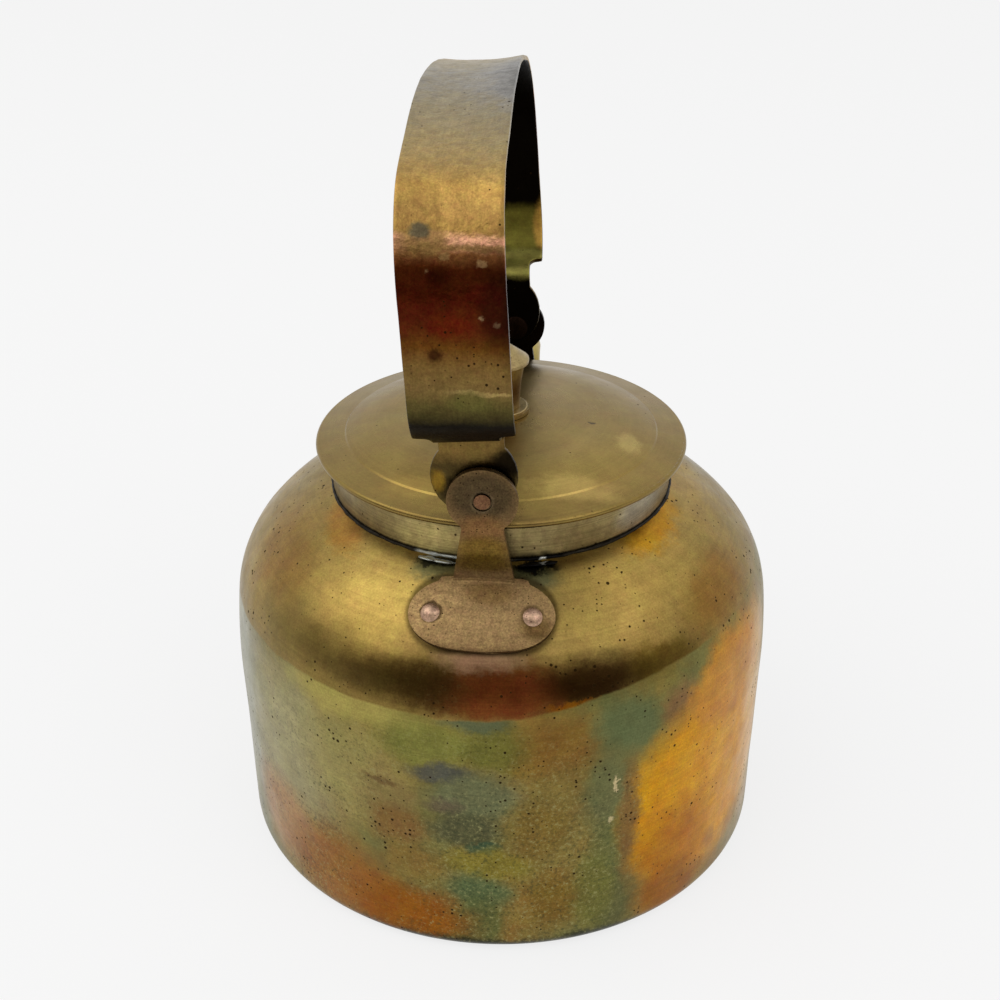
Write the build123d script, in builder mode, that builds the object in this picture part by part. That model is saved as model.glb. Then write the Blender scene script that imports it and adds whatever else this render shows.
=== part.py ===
from build123d import *
import math
import os

os.makedirs("parts", exist_ok=True)

# A hand-made brass tea kettle: millimetres, +Z up, origin at the middle of the foot ring,
# spout towards +Y, the two ears and the pins of the bail handle on -Y and +Y.

# Body, one raised sheet from the mouth down to the turned-in foot lip
body_radius = 90.0           # widest, at the belly
shoulder_height = 125.2      # outer surface at the foot of the collar
sheet = 1.2
shoulder_start = 20.0        # slope at the collar, degrees below level
shoulder_break = 48.0        # slope where the shoulder starts to turn over
belly_start = 84.4           # slope where the turn runs out into the wall
turn_radius = 36.0           # the soft turn from shoulder to wall
belly_radius = 232.0         # the long swell of the wall
wall_taper = 1.0             # degrees that the wall draws in towards the foot
foot_corner = 5.0            # outer radius of the turned foot
lip_width = 6.0              # flat ring that the kettle stands on

# Bottom disc, laid on the lip
base_sheet = 1.4
base_rim = 10.0              # flat edge of the disc
base_crown = 1.5             # the middle is pressed up this much

# Collar and mouth
collar_radius = 55.1
collar_sheet = 1.2
collar_bead = 0.7            # half-round bead
bead_drop = 3.0              # bead below the top edge
neck_height = 6.0            # upturned neck of the body, inside the collar
solder_gap = 0.05            # between lapped sheets

# Lid
lid_overhang = 4.9           # rolled edge outside the collar
lid_rim_stand = 14.3         # rolled edge above the foot of the collar
lid_sheet = 1.0
lid_roll = 1.1               # radius of the rolled edge
brim_width = 9.4             # from the rim in to the dome
brim_rise = 3.0              # inner edge of the brim above the rim
dome_step = 0.5
dome_rise = 9.1              # middle of the dome above the rim
dome_flat_radius = 34.0      # the middle part of the dome is flatter
dome_flat_sag = 1.7
rest_gap = 0.2               # lid to collar
bezel_clearance = 0.6        # locating ring to the inside of the neck
bezel_depth = 9.0            # below the rim
bezel_sheet = 1.0

# Knob, turned from bar and riveted through its washer, the lid and a burr
knob_washer_radius = 9.1
knob_washer_thick = 1.8
knob_washer_step = 0.6
stem_foot_radius = 6.1
stem_top_radius = 7.7
stem_height = 15.0
stem_waist = 0.5             # hollow of the stem's side
cap_radius = 8.9
cap_rim = 1.3
cap_cone = 6.3
cap_nose = 1.6               # rounding of the point
tenon_radius = 2.4
tenon_clearance = 0.05
burr_radius = 6.0
burr_thick = 1.0
tenon_head_radius = 3.6
tenon_head_height = 0.8

# Ears, one bent plate each, riveted to the shoulder
pin_stand = 26.0             # pins above the foot of the collar
ear_sheet = 1.8
ear_stand = 5.0              # outer face of the round end, outside the fold
ear_disc_radius = 10.3
ear_neck_top = 11.9          # narrowest width, right below the round end
ear_neck_foot = 18.4         # width at the fold
ear_neck_fillet = 2.0        # between the neck and the round end
ear_bend_drop = 10.0         # below the pin by this much the ear leans in
ear_bend_radius = 5.0
fold_stand = 6.5             # fold of the ear on the shoulder, outside the collar
fold_fillet = 1.2
ear_plate_width = 43.2
ear_plate_length = 23.0      # down the slope

# Rivets of the ears
rivet_spacing = 29.6
rivet_down = 13.0            # from the fold, down the slope
rivet_shank = 1.8
rivet_clearance = 0.05
rivet_head_radius = 2.85
rivet_head_height = 1.3
rivet_tail_radius = 2.6
rivet_tail_height = 0.9

# Bail handle, one flat strap
strap_width = 28.2
strap_thick = 1.6
strap_rise = 104.3           # outer face at the middle of the grip, above the pins
crown_radius = 225.0         # the nearly flat grip
strap_bend = 33.0            # bend from grip to leg
leg_stand = 16.0             # outer face of the leg, outside the ear
curl_turn = 80.0             # degrees that the foot of the leg curls in under
curl_run = 1.8               # straight between the curl and the turn back down
notch_rise = 20.8            # lower corners of the full-width strap, above the pins
notch_width = 18.8           # neck between the notches
notch_fillet = 2.4           # inner corners of the notches
notch_corner = 2.0           # outer corners
tab_bend = 3.2               # radius of the turn back down into the tab
tab_gap = 1.2                # between the tab and the ear, filled by the washer
tab_radius = 12.6
tab_rise = 6.8               # middle of the tab above the pin
bail_lean = 4.0              # degrees that the handle stands off upright, towards -X
strap_shift = 2.1            # middle of the strap off the middle of the pins, towards -X
strap_edge = 0.35            # rounding of the strap's long edges

# Pins and washers of the handle
pin_radius = 2.4
pin_clearance = 0.08
pin_head_radius = 4.4
pin_head_height = 1.2
pin_recess_radius = 2.95     # shallow recess round the pin in the face of the ear
pin_recess_depth = 0.6
pin_proud = 0.2
washer_radius = 7.6
washer_gap = 0.1             # running gap on each side of the washer

# Spout, a tapered swan neck soldered over a hole in the wall
spout_sheet = 1.1
spout_root_inset = 6.0       # start of the low bend, inside the belly's widest radius
spout_root_height = 41.0
spout_start_angle = 25.0     # above level
spout_overlap = 6.0          # straight length before the bend, cut away inside the body
spout_low_bend = 40.0
spout_low_turn = 50.0
spout_tip_drop = 8.9         # middle of the tip below the foot of the collar
spout_top_bend = 14.0
spout_tip_angle = 5.0        # above level
spout_root_radius = 17.5
spout_tip_radius = 5.6
spout_taper = 1.8            # power of the taper, more than one narrows the root faster
spout_sections = 10
spout_hole_radius = 13.0


def sine(angle):
    return math.sin(math.radians(angle))


def cosine(angle):
    return math.cos(math.radians(angle))


def heading(angle):
    """Unit vector that points outwards and this many degrees up."""
    return (cosine(angle), sine(angle))


# Places that each piece takes from the piece that carries it
lid_radius = collar_radius + lid_overhang
lid_rim_height = shoulder_height + lid_rim_stand
pin_height = shoulder_height + pin_stand
fold_radius = collar_radius + fold_stand
ear_face = fold_radius + ear_stand
leg_reach = ear_face + leg_stand

# The shoulder's arc takes what the other arcs leave of the way from collar to belly
turn_reach = turn_radius * (sine(belly_start) - sine(shoulder_break))
belly_reach = belly_radius * (1 - sine(belly_start))
shoulder_radius = (body_radius - collar_radius - turn_reach - belly_reach) / (
    sine(shoulder_break) - sine(shoulder_start)
)


def body_line(depth):
    """Line this deep in the body's sheet, from the collar's foot down; returns its first and last arcs."""
    start = (collar_radius - depth * sine(shoulder_start), shoulder_height - depth * cosine(shoulder_start))
    shoulder = JernArc(
        start,
        heading(-shoulder_start),
        shoulder_radius - depth,
        shoulder_start - shoulder_break,
    )
    turn = JernArc(shoulder @ 1, shoulder % 1, turn_radius - depth, shoulder_break - belly_start)
    belly = JernArc(turn @ 1, turn % 1, belly_radius - depth, belly_start - 90 - wall_taper)
    corner_radius = foot_corner - depth
    wall_drop = (belly @ 1).Y - depth - corner_radius * (1 - sine(wall_taper))
    wall = PolarLine(belly @ 1, wall_drop / cosine(wall_taper), -90 - wall_taper)
    corner = JernArc(wall @ 1, wall % 1, corner_radius, wall_taper - 90)
    return shoulder, corner


def shoulder_plane(radius, angle=0.0, lift=0.0):
    """Plane on the first arc of the shoulder, normal outwards, turned about the axis from -Y."""
    slope = math.degrees(math.asin(sine(shoulder_start) + (radius - collar_radius) / shoulder_radius))
    height = shoulder_height - shoulder_radius * (cosine(shoulder_start) - cosine(slope))
    out = (sine(angle), -cosine(angle))
    normal = (sine(slope) * out[0], sine(slope) * out[1], cosine(slope))
    reach = radius + lift * sine(slope)
    origin = (reach * out[0], reach * out[1], height + lift * cosine(slope))
    return Plane(origin=origin, x_dir=(cosine(angle), sine(angle), 0), z_dir=normal)


def radius_down_slope(distance):
    """Radius of the shoulder this far down the slope from the fold of the ears."""
    fold_slope = math.asin(sine(shoulder_start) + (fold_radius - collar_radius) / shoulder_radius)
    slope = math.degrees(fold_slope + distance / shoulder_radius)
    return collar_radius + shoulder_radius * (sine(slope) - sine(shoulder_start))


# Body shell
neck_outer = collar_radius - collar_sheet - solder_gap
mouth_radius = neck_outer - sheet
neck_slope = math.tan(math.radians(shoulder_start))
neck_foot = shoulder_height + (collar_radius - neck_outer) * neck_slope
neck_top = shoulder_height + neck_height

with BuildPart() as raised_sheet:
    with BuildSketch(Plane.XZ):
        with BuildLine():
            outer_shoulder, outer_corner = body_line(0)
            inner_shoulder, inner_corner = body_line(sheet)
            inner_start = inner_shoulder @ 0
            lip_edge = (outer_corner @ 1).X - lip_width
            Polyline(
                outer_shoulder @ 0,
                (neck_outer, neck_foot),
                (neck_outer, neck_top),
                (mouth_radius, neck_top),
                (mouth_radius, inner_start.Y + (inner_start.X - mouth_radius) * neck_slope),
                inner_start,
            )
            Polyline(outer_corner @ 1, (lip_edge, 0), (lip_edge, sheet), inner_corner @ 1)
        make_face()
    revolve(axis=Axis.Z)
foot_radius = (outer_corner @ 1).X

# The solid that the body fills, for trimming what is soldered or riveted on outside
with BuildPart() as body_envelope:
    with BuildSketch(Plane.XZ):
        with BuildLine():
            shoulder, corner = body_line(0)
            Polyline(corner @ 1, (0, 0), (0, shoulder_height), shoulder @ 0)
        make_face()
    revolve(axis=Axis.Z)

# Bottom disc
base_z = sheet + solder_gap
base_radius = foot_radius + 0.4

with BuildPart() as base_plate:
    with BuildSketch(Plane.XZ):
        with BuildLine():
            crown = TangentArc(
                (0, base_z + base_crown),
                (base_radius - base_rim, base_z),
                tangent=(1, 0),
            )
            Line(crown @ 1, (base_radius, base_z))
            offset(amount=base_sheet, side=Side.LEFT)
        make_face()
    revolve(axis=Axis.Z)
base_plate.part.label = "base_plate"
export_step(base_plate.part, "parts/base_plate.step")

# Lid: dome, step and brim in one sheet, with a rolled edge
roll_middle = lid_radius - lid_roll
brim_inner = lid_radius - brim_width
dome_top = lid_rim_height + dome_rise
dome_edge = brim_inner - dome_step
brim_slope = (brim_rise - lid_roll) / (roll_middle - brim_inner)

with BuildPart() as lid_plate:
    with BuildSketch(Plane.XZ):
        with BuildLine():
            flat = TangentArc(
                (0, dome_top),
                (dome_flat_radius, dome_top - dome_flat_sag),
                tangent=(1, 0),
            )
            quarter = TangentArc(
                flat @ 1,
                (dome_edge, lid_rim_height + brim_rise + dome_step),
                tangent=flat % 1,
            )
            Polyline(
                quarter @ 1,
                (brim_inner, lid_rim_height + brim_rise),
                (roll_middle, lid_rim_height + lid_roll),
            )
            offset(amount=lid_sheet, side=Side.RIGHT)
        make_face()
        with Locations((roll_middle, lid_rim_height)):
            Circle(lid_roll)
    revolve(axis=Axis.Z)
    with Locations((0, 0, dome_top)):
        Hole(tenon_radius + tenon_clearance, depth=lid_rim_height)
lid_plate.part.label = "lid_plate"
export_step(lid_plate.part, "parts/lid_plate.step")


def brim_underside(radius):
    """Height of the underside of the brim at this radius."""
    top = lid_rim_height + brim_rise - (radius - brim_inner) * brim_slope
    return top - lid_sheet * math.sqrt(1 + brim_slope**2)


# Locating ring, soldered under the brim
bezel_radius = mouth_radius - bezel_clearance
with BuildPart() as lid_bezel:
    with BuildSketch(Plane.XZ):
        with BuildLine():
            Polyline(
                (bezel_radius, lid_rim_height - bezel_depth),
                (bezel_radius, brim_underside(bezel_radius) - solder_gap),
                (bezel_radius - bezel_sheet, brim_underside(bezel_radius) - solder_gap),
                (bezel_radius - bezel_sheet, lid_rim_height - bezel_depth),
                close=True,
            )
        make_face()
    revolve(axis=Axis.Z)
    chamfer(lid_bezel.edges().group_by(Axis.Z)[0], bezel_sheet / 3)
lid_bezel.part.label = "lid_bezel"
export_step(lid_bezel.part, "parts/lid_bezel.step")

# Collar, a band with a bead below its top edge
collar_top = brim_underside(collar_radius) - rest_gap
with BuildPart() as collar:
    with BuildSketch(Plane.XZ):
        with BuildLine():
            Polyline(
                (collar_radius, neck_foot + solder_gap),
                (collar_radius, collar_top),
                (collar_radius - collar_sheet, collar_top),
                (collar_radius - collar_sheet, neck_foot + solder_gap),
                close=True,
            )
        make_face()
        with Locations((collar_radius, collar_top - bead_drop)):
            Circle(collar_bead)
    revolve(axis=Axis.Z)
collar.part.label = "collar"
export_step(collar.part, "parts/collar.step")

# Knob and its two washers
dome_radius = (dome_flat_radius**2 + dome_flat_sag**2) / (2 * dome_flat_sag)
knob_seat = dome_top + knob_washer_thick
burr_top = dome_top - lid_sheet - burr_radius**2 / (2 * dome_radius)
burr_under = burr_top - burr_thick
cap_under = knob_seat + stem_height
cone_foot = cap_under + cap_rim
nose_middle = cap_cone - cap_nose
cone_slope = math.degrees(
    math.asin(cap_nose / math.hypot(cap_radius, nose_middle)) + math.atan2(nose_middle, cap_radius)
)
nose_edge = (cap_nose * sine(cone_slope), cone_foot + nose_middle + cap_nose * cosine(cone_slope))

with BuildPart() as knob:
    with BuildSketch(Plane.XZ):
        with BuildLine():
            TangentArc((0, cone_foot + cap_cone), nose_edge, tangent=(1, 0))
            Polyline(
                nose_edge,
                (cap_radius, cone_foot),
                (cap_radius, cap_under),
                (stem_top_radius, cap_under),
            )
            ThreePointArc(
                (stem_top_radius, cap_under),
                ((stem_top_radius + stem_foot_radius) / 2 - stem_waist, knob_seat + stem_height / 2),
                (stem_foot_radius, knob_seat),
            )
            Polyline(
                (stem_foot_radius, knob_seat),
                (tenon_radius, knob_seat),
                (tenon_radius, burr_under),
                (tenon_head_radius, burr_under),
            )
            TangentArc(
                (0, burr_under - tenon_head_height),
                (tenon_head_radius, burr_under),
                tangent=(1, 0),
            )
            Line((0, burr_under - tenon_head_height), (0, cone_foot + cap_cone))
        make_face()
    revolve(axis=Axis.Z)
    cap_edges = knob.edges().filter_by(Plane.XY).group_by(SortBy.RADIUS)[-1]
    fillet(cap_edges, cap_rim / 4)
knob.part.label = "knob"
export_step(knob.part, "parts/knob.step")

with BuildPart() as knob_washer:
    with BuildSketch(Plane.XY.offset(dome_top)):
        Circle(knob_washer_radius)
    extrude(amount=knob_washer_thick - knob_washer_step)
    with BuildSketch(Plane.XY.offset(dome_top)):
        Circle(knob_washer_radius - knob_washer_step)
    extrude(amount=knob_washer_thick)
    fillet(knob_washer.edges().group_by(Axis.Z)[-1], knob_washer_step / 2)
    with Locations((0, 0, knob_seat)):
        Hole(tenon_radius + tenon_clearance)
knob_washer.part.label = "knob_washer"
export_step(knob_washer.part, "parts/knob_washer.step")

with BuildPart() as knob_burr:
    with BuildSketch(Plane.XY.offset(burr_under)):
        Circle(burr_radius)
        Circle(tenon_radius + tenon_clearance, mode=Mode.SUBTRACT)
    extrude(amount=burr_thick)
    chamfer(knob_burr.edges().group_by(Axis.Z)[0].sort_by(SortBy.RADIUS)[-1], burr_thick / 3)
knob_burr.part.label = "knob_burr"
export_step(knob_burr.part, "parts/knob_burr.step")

# Ear: the riveted plate follows the shoulder, the upright stands on its upper edge
plate_middle = shoulder_plane(radius_down_slope(ear_plate_length / 2))
rivet_radius = radius_down_slope(rivet_down)
rivet_angle = math.degrees(math.asin(rivet_spacing / 2 / rivet_radius))
fold_plane = shoulder_plane(fold_radius)
fold_height = fold_plane.origin.Z
disc_foot = math.sqrt(ear_disc_radius**2 - (ear_neck_top / 2) ** 2)
ear_root = ear_sheet * 2
ear_bend_height = pin_height - ear_bend_drop
ear_lean = (ear_face - fold_radius - ear_sheet) / (ear_bend_height - fold_height)


def rivet_places(lift):
    """The two rivets of the front ear, this far above the shoulder."""
    return [shoulder_plane(rivet_radius, angle, lift) for angle in (-rivet_angle, rivet_angle)]


with BuildPart() as ear_plate:
    with BuildSketch(Plane.XZ):
        with BuildLine():
            JernArc(
                (collar_radius, shoulder_height),
                heading(-shoulder_start),
                shoulder_radius,
                shoulder_start - belly_start,
            )
            offset(amount=ear_sheet, side=Side.LEFT)
        make_face()
    revolve(axis=Axis.Z)
    with BuildSketch(plate_middle.offset(-ear_plate_length / 2)):
        SlotOverall(ear_plate_width, ear_plate_length)
    extrude(amount=ear_plate_length, mode=Mode.INTERSECT)

with BuildPart() as ear_front:
    with BuildSketch(Plane.YZ):
        with BuildLine():
            FilletPolyline(
                (-ear_face, pin_height + ear_disc_radius),
                (-ear_face, ear_bend_height),
                (ear_root * ear_lean - fold_radius - ear_sheet, fold_height - ear_root),
                radius=ear_bend_radius,
            )
            offset(amount=ear_sheet, side=Side.LEFT)
        make_face()
    extrude(amount=ear_plate_width / 2, both=True)
    with BuildSketch(Plane.XZ) as ear_outline:
        with BuildLine():
            Polyline(
                (ear_neck_top / 2, pin_height - disc_foot),
                (ear_neck_foot / 2, fold_height),
                (ear_neck_foot / 2, fold_height - ear_root * 2),
                (-ear_neck_foot / 2, fold_height - ear_root * 2),
                (-ear_neck_foot / 2, fold_height),
                (-ear_neck_top / 2, pin_height - disc_foot),
                (0, pin_height),
                close=True,
            )
        make_face()
        with Locations((0, pin_height)):
            Circle(ear_disc_radius)
        fillet(ear_outline.vertices().sort_by(Axis.Y)[4:6], ear_neck_fillet)
    extrude(amount=ear_face * 2, mode=Mode.INTERSECT)
    add(ear_plate.part)
    add(body_envelope.part, mode=Mode.SUBTRACT)
    fold_low = fold_height + ear_sheet / 3
    fold_edges = ear_front.edges().filter_by_position(Axis.Z, fold_low, fold_height + ear_sheet)
    fillet(fold_edges.sort_by(SortBy.LENGTH)[-1], fold_fillet)
    with Locations(Plane.XZ.offset(ear_face).shift_origin((0, -ear_face, pin_height))):
        CounterBoreHole(pin_radius + pin_clearance, pin_recess_radius, pin_recess_depth)
    with Locations(rivet_places(ear_sheet)):
        Hole(rivet_shank + rivet_clearance, depth=ear_sheet * 2)
ear_front.part.label = "ear_front"
export_step(ear_front.part, "parts/ear_front.step")

with BuildPart() as ear_back:
    mirror(ear_front.part, about=Plane.XZ)
ear_back.part.label = "ear_back"
export_step(ear_back.part, "parts/ear_back.step")

# Rivet, head outside on the plate and tail inside the body; its origin is on the face of the plate
tail_curve = min(shoulder_radius, turn_radius) - sheet
tail_top = -ear_sheet - sheet - rivet_tail_radius**2 / (2 * tail_curve)
with BuildPart() as rivet:
    with BuildSketch(Plane.XZ):
        with BuildLine():
            TangentArc((0, rivet_head_height), (rivet_head_radius, 0), tangent=(1, 0))
            Polyline(
                (rivet_head_radius, 0),
                (rivet_shank, 0),
                (rivet_shank, tail_top),
                (rivet_tail_radius, tail_top),
            )
            TangentArc(
                (0, tail_top - rivet_tail_height),
                (rivet_tail_radius, tail_top),
                tangent=(1, 0),
            )
            Line((0, tail_top - rivet_tail_height), (0, rivet_head_height))
        make_face()
    revolve(axis=Axis.Z)

with BuildPart() as ear_front_rivets:
    with Locations(rivet_places(ear_sheet)):
        add(rivet.part)
ear_front_rivets.part.label = "ear_front_rivets"
export_step(ear_front_rivets.part, "parts/ear_front_rivets.step")

with BuildPart() as ear_back_rivets:
    mirror(ear_front_rivets.part, about=Plane.XZ)
ear_back_rivets.part.label = "ear_back_rivets"
export_step(ear_back_rivets.part, "parts/ear_back_rivets.step")

# Bail handle, drawn upright in its own frame at the pins: X across the strap, Z up the legs
bail_frame = Plane(
    origin=(0, 0, pin_height),
    x_dir=(cosine(bail_lean), 0, sine(bail_lean)),
    z_dir=(-sine(bail_lean), 0, cosine(bail_lean)),
)
tab_face = ear_face - ear_sheet - tab_gap
crown_turn = math.degrees(math.asin((leg_reach - strap_bend) / (crown_radius - strap_bend)))
curl_end = tab_face + tab_bend * (1 - cosine(curl_turn)) + curl_run * sine(curl_turn)
curl_radius = (leg_reach - curl_end) / (1 - cosine(curl_turn))
leg_foot = notch_rise + curl_radius * sine(curl_turn)

tab_front = Plane(origin=bail_frame.origin, x_dir=bail_frame.x_dir, z_dir=(0, -1, 0))
strap_frame = bail_frame.shift_origin(bail_frame.origin - bail_frame.x_dir * strap_shift)
strap_side = Plane(origin=strap_frame.origin, x_dir=(0, -1, 0), z_dir=-strap_frame.x_dir)
strap_front = Plane(origin=strap_frame.origin, x_dir=strap_frame.x_dir, z_dir=(0, -1, 0))
notch_foot = tab_rise + math.sqrt(tab_radius**2 - (notch_width / 2) ** 2)

with BuildPart() as bail_strap:
    with BuildSketch(strap_side):
        with BuildLine():
            crown = JernArc((0, strap_rise), (1, 0), crown_radius, -crown_turn)
            bend = JernArc(crown @ 1, crown % 1, strap_bend, crown_turn - 90)
            leg = Line(bend @ 1, (leg_reach, leg_foot))
            curl = JernArc(leg @ 1, leg % 1, curl_radius, -curl_turn)
            run = PolarLine(curl @ 1, curl_run, direction=curl % 1)
            back = JernArc(run @ 1, run % 1, tab_bend, curl_turn)
            Line(back @ 1, (tab_face, tab_rise - tab_radius))
            offset(amount=strap_thick, side=Side.RIGHT)
        make_face()
    extrude(amount=strap_width / 2, both=True)
    side_edges = bail_strap.faces().filter_by(strap_side).edges()
    fillet(side_edges.filter_by(lambda edge: edge.length > strap_thick * 1.1), strap_edge)
    # Notches, seen from above: they leave the neck between curl and tab
    with BuildSketch(strap_frame.offset(notch_foot)) as notches:
        with Locations((0, -curl_end)):
            Rectangle(strap_width * 2, curl_radius)
        with BuildLine():
            Polyline(
                (-strap_width / 2, -leg_reach),
                (-strap_width / 2, -curl_end),
                (-notch_width / 2, -curl_end),
                (-notch_width / 2, 0),
                (notch_width / 2, 0),
                (notch_width / 2, -curl_end),
                (strap_width / 2, -curl_end),
                (strap_width / 2, -leg_reach),
                close=True,
            )
        make_face(mode=Mode.SUBTRACT)
        notch_corners = notches.vertices().group_by(Axis.Y)[1].sort_by(Axis.X)
        fillet(notch_corners[1:3], notch_fillet)
        corners_left = notches.vertices().group_by(Axis.Y)[1].sort_by(Axis.X)
        fillet([corners_left[0], corners_left[-1]], notch_corner)
    extrude(amount=tab_radius, mode=Mode.SUBTRACT)
    # Round tab, seen from the front
    with BuildSketch(strap_front.offset(tab_face - strap_thick * 2)):
        with Locations((0, tab_rise)):
            Rectangle(strap_width * 2, tab_radius * 3)
            Circle(tab_radius, mode=Mode.SUBTRACT)
            Rectangle(notch_width, tab_radius * 2, align=(Align.CENTER, Align.MIN), mode=Mode.SUBTRACT)
    extrude(amount=curl_end - notch_fillet - tab_face + strap_thick * 2, mode=Mode.SUBTRACT)
    with Locations(tab_front.offset(tab_face)):
        Hole(pin_radius + rivet_clearance, depth=strap_thick * 2)
    mirror(about=Plane.XZ)
bail_strap.part.label = "bail_strap"
export_step(bail_strap.part, "parts/bail_strap.step")

# Pins of the handle: head inside the tab, end spread flush in the recess of the ear
pin_section = Plane(origin=(0, 0, pin_height), x_dir=(0, -1, 0), z_dir=(-1, 0, 0))
head_face = tab_face - strap_thick
with BuildPart() as pivot_pin_front:
    with BuildSketch(pin_section):
        with BuildLine():
            TangentArc((head_face - pin_head_height, 0), (head_face, pin_head_radius), tangent=(0, 1))
            Polyline(
                (head_face, pin_head_radius),
                (head_face, pin_radius),
                (ear_face, pin_radius),
            )
            TangentArc((ear_face + pin_proud, 0), (ear_face, pin_radius), tangent=(0, 1))
            Line((ear_face + pin_proud, 0), (head_face - pin_head_height, 0))
        make_face()
    revolve(axis=Axis((0, 0, pin_height), (0, -1, 0)))
pivot_pin_front.part.label = "pivot_pin_front"
export_step(pivot_pin_front.part, "parts/pivot_pin_front.step")

with BuildPart() as pivot_pin_back:
    mirror(pivot_pin_front.part, about=Plane.XZ)
pivot_pin_back.part.label = "pivot_pin_back"
export_step(pivot_pin_back.part, "parts/pivot_pin_back.step")

with BuildPart() as pivot_washer_front:
    with BuildSketch(Plane.XZ.offset(tab_face + washer_gap)):
        with Locations((0, pin_height)):
            Circle(washer_radius)
            Circle(pin_radius + rivet_clearance, mode=Mode.SUBTRACT)
    extrude(amount=tab_gap - washer_gap * 2)
pivot_washer_front.part.label = "pivot_washer_front"
export_step(pivot_washer_front.part, "parts/pivot_washer_front.step")

with BuildPart() as pivot_washer_back:
    mirror(pivot_washer_front.part, about=Plane.XZ)
pivot_washer_back.part.label = "pivot_washer_back"
export_step(pivot_washer_back.part, "parts/pivot_washer_back.step")

# Spout, lofted along its middle line and cut to the body
spout_low_end = spout_start_angle + spout_low_turn
spout_start = (
    body_radius - spout_root_inset - spout_overlap * cosine(spout_start_angle),
    spout_root_height - spout_overlap * sine(spout_start_angle),
)
low_bend_rise = spout_low_bend * (cosine(spout_start_angle) - cosine(spout_low_end))
top_bend_rise = spout_top_bend * (cosine(spout_tip_angle) - cosine(spout_low_end))
spout_tip_height = shoulder_height - spout_tip_drop
straight_rise = spout_tip_height - spout_root_height - low_bend_rise - top_bend_rise
with BuildLine(Plane.YZ) as spout_middle:
    root = PolarLine(spout_start, spout_overlap, spout_start_angle)
    low = JernArc(root @ 1, root % 1, spout_low_bend, spout_low_turn)
    rise = PolarLine(low @ 1, straight_rise / sine(spout_low_end), spout_low_end)
    JernArc(rise @ 1, rise % 1, spout_top_bend, spout_tip_angle - spout_low_end)
spout_wire = spout_middle.wires()[0]


def spout_plane(share):
    """Plane square to the middle line, at this share of its length."""
    return Plane(origin=spout_wire @ share, x_dir=(1, 0, 0), z_dir=spout_wire % share)


def spout_radius(share):
    return spout_tip_radius + (spout_root_radius - spout_tip_radius) * (1 - share) ** spout_taper


spout_shares = [step / (spout_sections - 1) for step in range(spout_sections)]
with BuildPart() as spout:
    for share in spout_shares:
        with BuildSketch(spout_plane(share)):
            Circle(spout_radius(share))
    loft()
    for share in spout_shares:
        with BuildSketch(spout_plane(share)):
            Circle(spout_radius(share) - spout_sheet)
    loft(mode=Mode.SUBTRACT)
    add(body_envelope.part, mode=Mode.SUBTRACT)
spout.part.label = "spout"
export_step(spout.part, "parts/spout.step")

# Holes in the body: one under the spout, one for each rivet
with BuildPart() as rivet_holes:
    with Locations(rivet_places(ear_sheet)):
        Cylinder(rivet_shank + rivet_clearance, rivet_spacing)
    mirror(about=Plane.XZ)

with BuildPart() as body_shell:
    add(raised_sheet.part)
    add(rivet_holes.part, mode=Mode.SUBTRACT)
    with BuildSketch(spout_plane(0)):
        Circle(spout_hole_radius)
    extrude(amount=spout_root_radius * 2, mode=Mode.SUBTRACT)
body_shell.part.label = "body_shell"
export_step(body_shell.part, "parts/body_shell.step")
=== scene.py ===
import bpy
import math
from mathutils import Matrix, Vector


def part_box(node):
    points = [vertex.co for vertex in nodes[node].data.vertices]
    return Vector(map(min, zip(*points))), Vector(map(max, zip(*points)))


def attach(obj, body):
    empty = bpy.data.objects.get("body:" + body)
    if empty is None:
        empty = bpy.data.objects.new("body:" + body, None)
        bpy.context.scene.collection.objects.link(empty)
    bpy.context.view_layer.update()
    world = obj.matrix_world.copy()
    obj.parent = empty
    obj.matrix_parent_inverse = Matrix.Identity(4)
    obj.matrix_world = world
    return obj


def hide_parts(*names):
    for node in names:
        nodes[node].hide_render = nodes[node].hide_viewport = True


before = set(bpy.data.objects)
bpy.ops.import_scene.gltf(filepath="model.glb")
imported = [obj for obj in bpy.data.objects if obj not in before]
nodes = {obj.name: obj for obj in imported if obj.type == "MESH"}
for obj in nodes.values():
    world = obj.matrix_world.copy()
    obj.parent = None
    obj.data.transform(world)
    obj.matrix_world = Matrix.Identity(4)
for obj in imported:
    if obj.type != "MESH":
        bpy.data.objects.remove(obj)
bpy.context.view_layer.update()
MM = 0.001


# Studio: a white table that runs out to a white backdrop, with large soft lamps above.
# The camera stands in front of the near ear and looks down past the handle on to the lid.
CAMERA_REACH = 0.4374
CAMERA_HEIGHT = 0.358
CAMERA_TURN = math.radians(4.7)
CAMERA_PITCH = math.radians(29.04)
CAMERA_ROLL = math.radians(0.1)
BACKDROP_WHITE = "#f5f5f5"
ROOM_LIGHT = 0.72


def srgb(code):
    """Linear colour of an sRGB hex code."""
    parts = [int(code[i:i + 2], 16) / 255 for i in (1, 3, 5)]
    return tuple(
        c / 12.92 if c <= 0.04045 else ((c + 0.055) / 1.055) ** 2.4 for c in parts
    ) + (1.0,)


def add_node(tree, kind, inputs=None, stops=None, **settings):
    """Adds a node with its settings; an input is a value, or another node's output to link."""
    node = tree.nodes.new(kind)
    for name, value in settings.items():
        setattr(node, name, value)
    for socket, value in (inputs or {}).items():
        if isinstance(value, bpy.types.NodeSocket):
            tree.links.new(value, node.inputs[socket])
        else:
            node.inputs[socket].default_value = value
    if stops:
        ramp = node.color_ramp
        ramp.elements[0].position, ramp.elements[0].color = stops[0][0], srgb(stops[0][1])
        ramp.elements[1].position, ramp.elements[1].color = stops[-1][0], srgb(stops[-1][1])
        for place, code in stops[1:-1]:
            ramp.elements.new(place).color = srgb(code)
    return node


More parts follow.
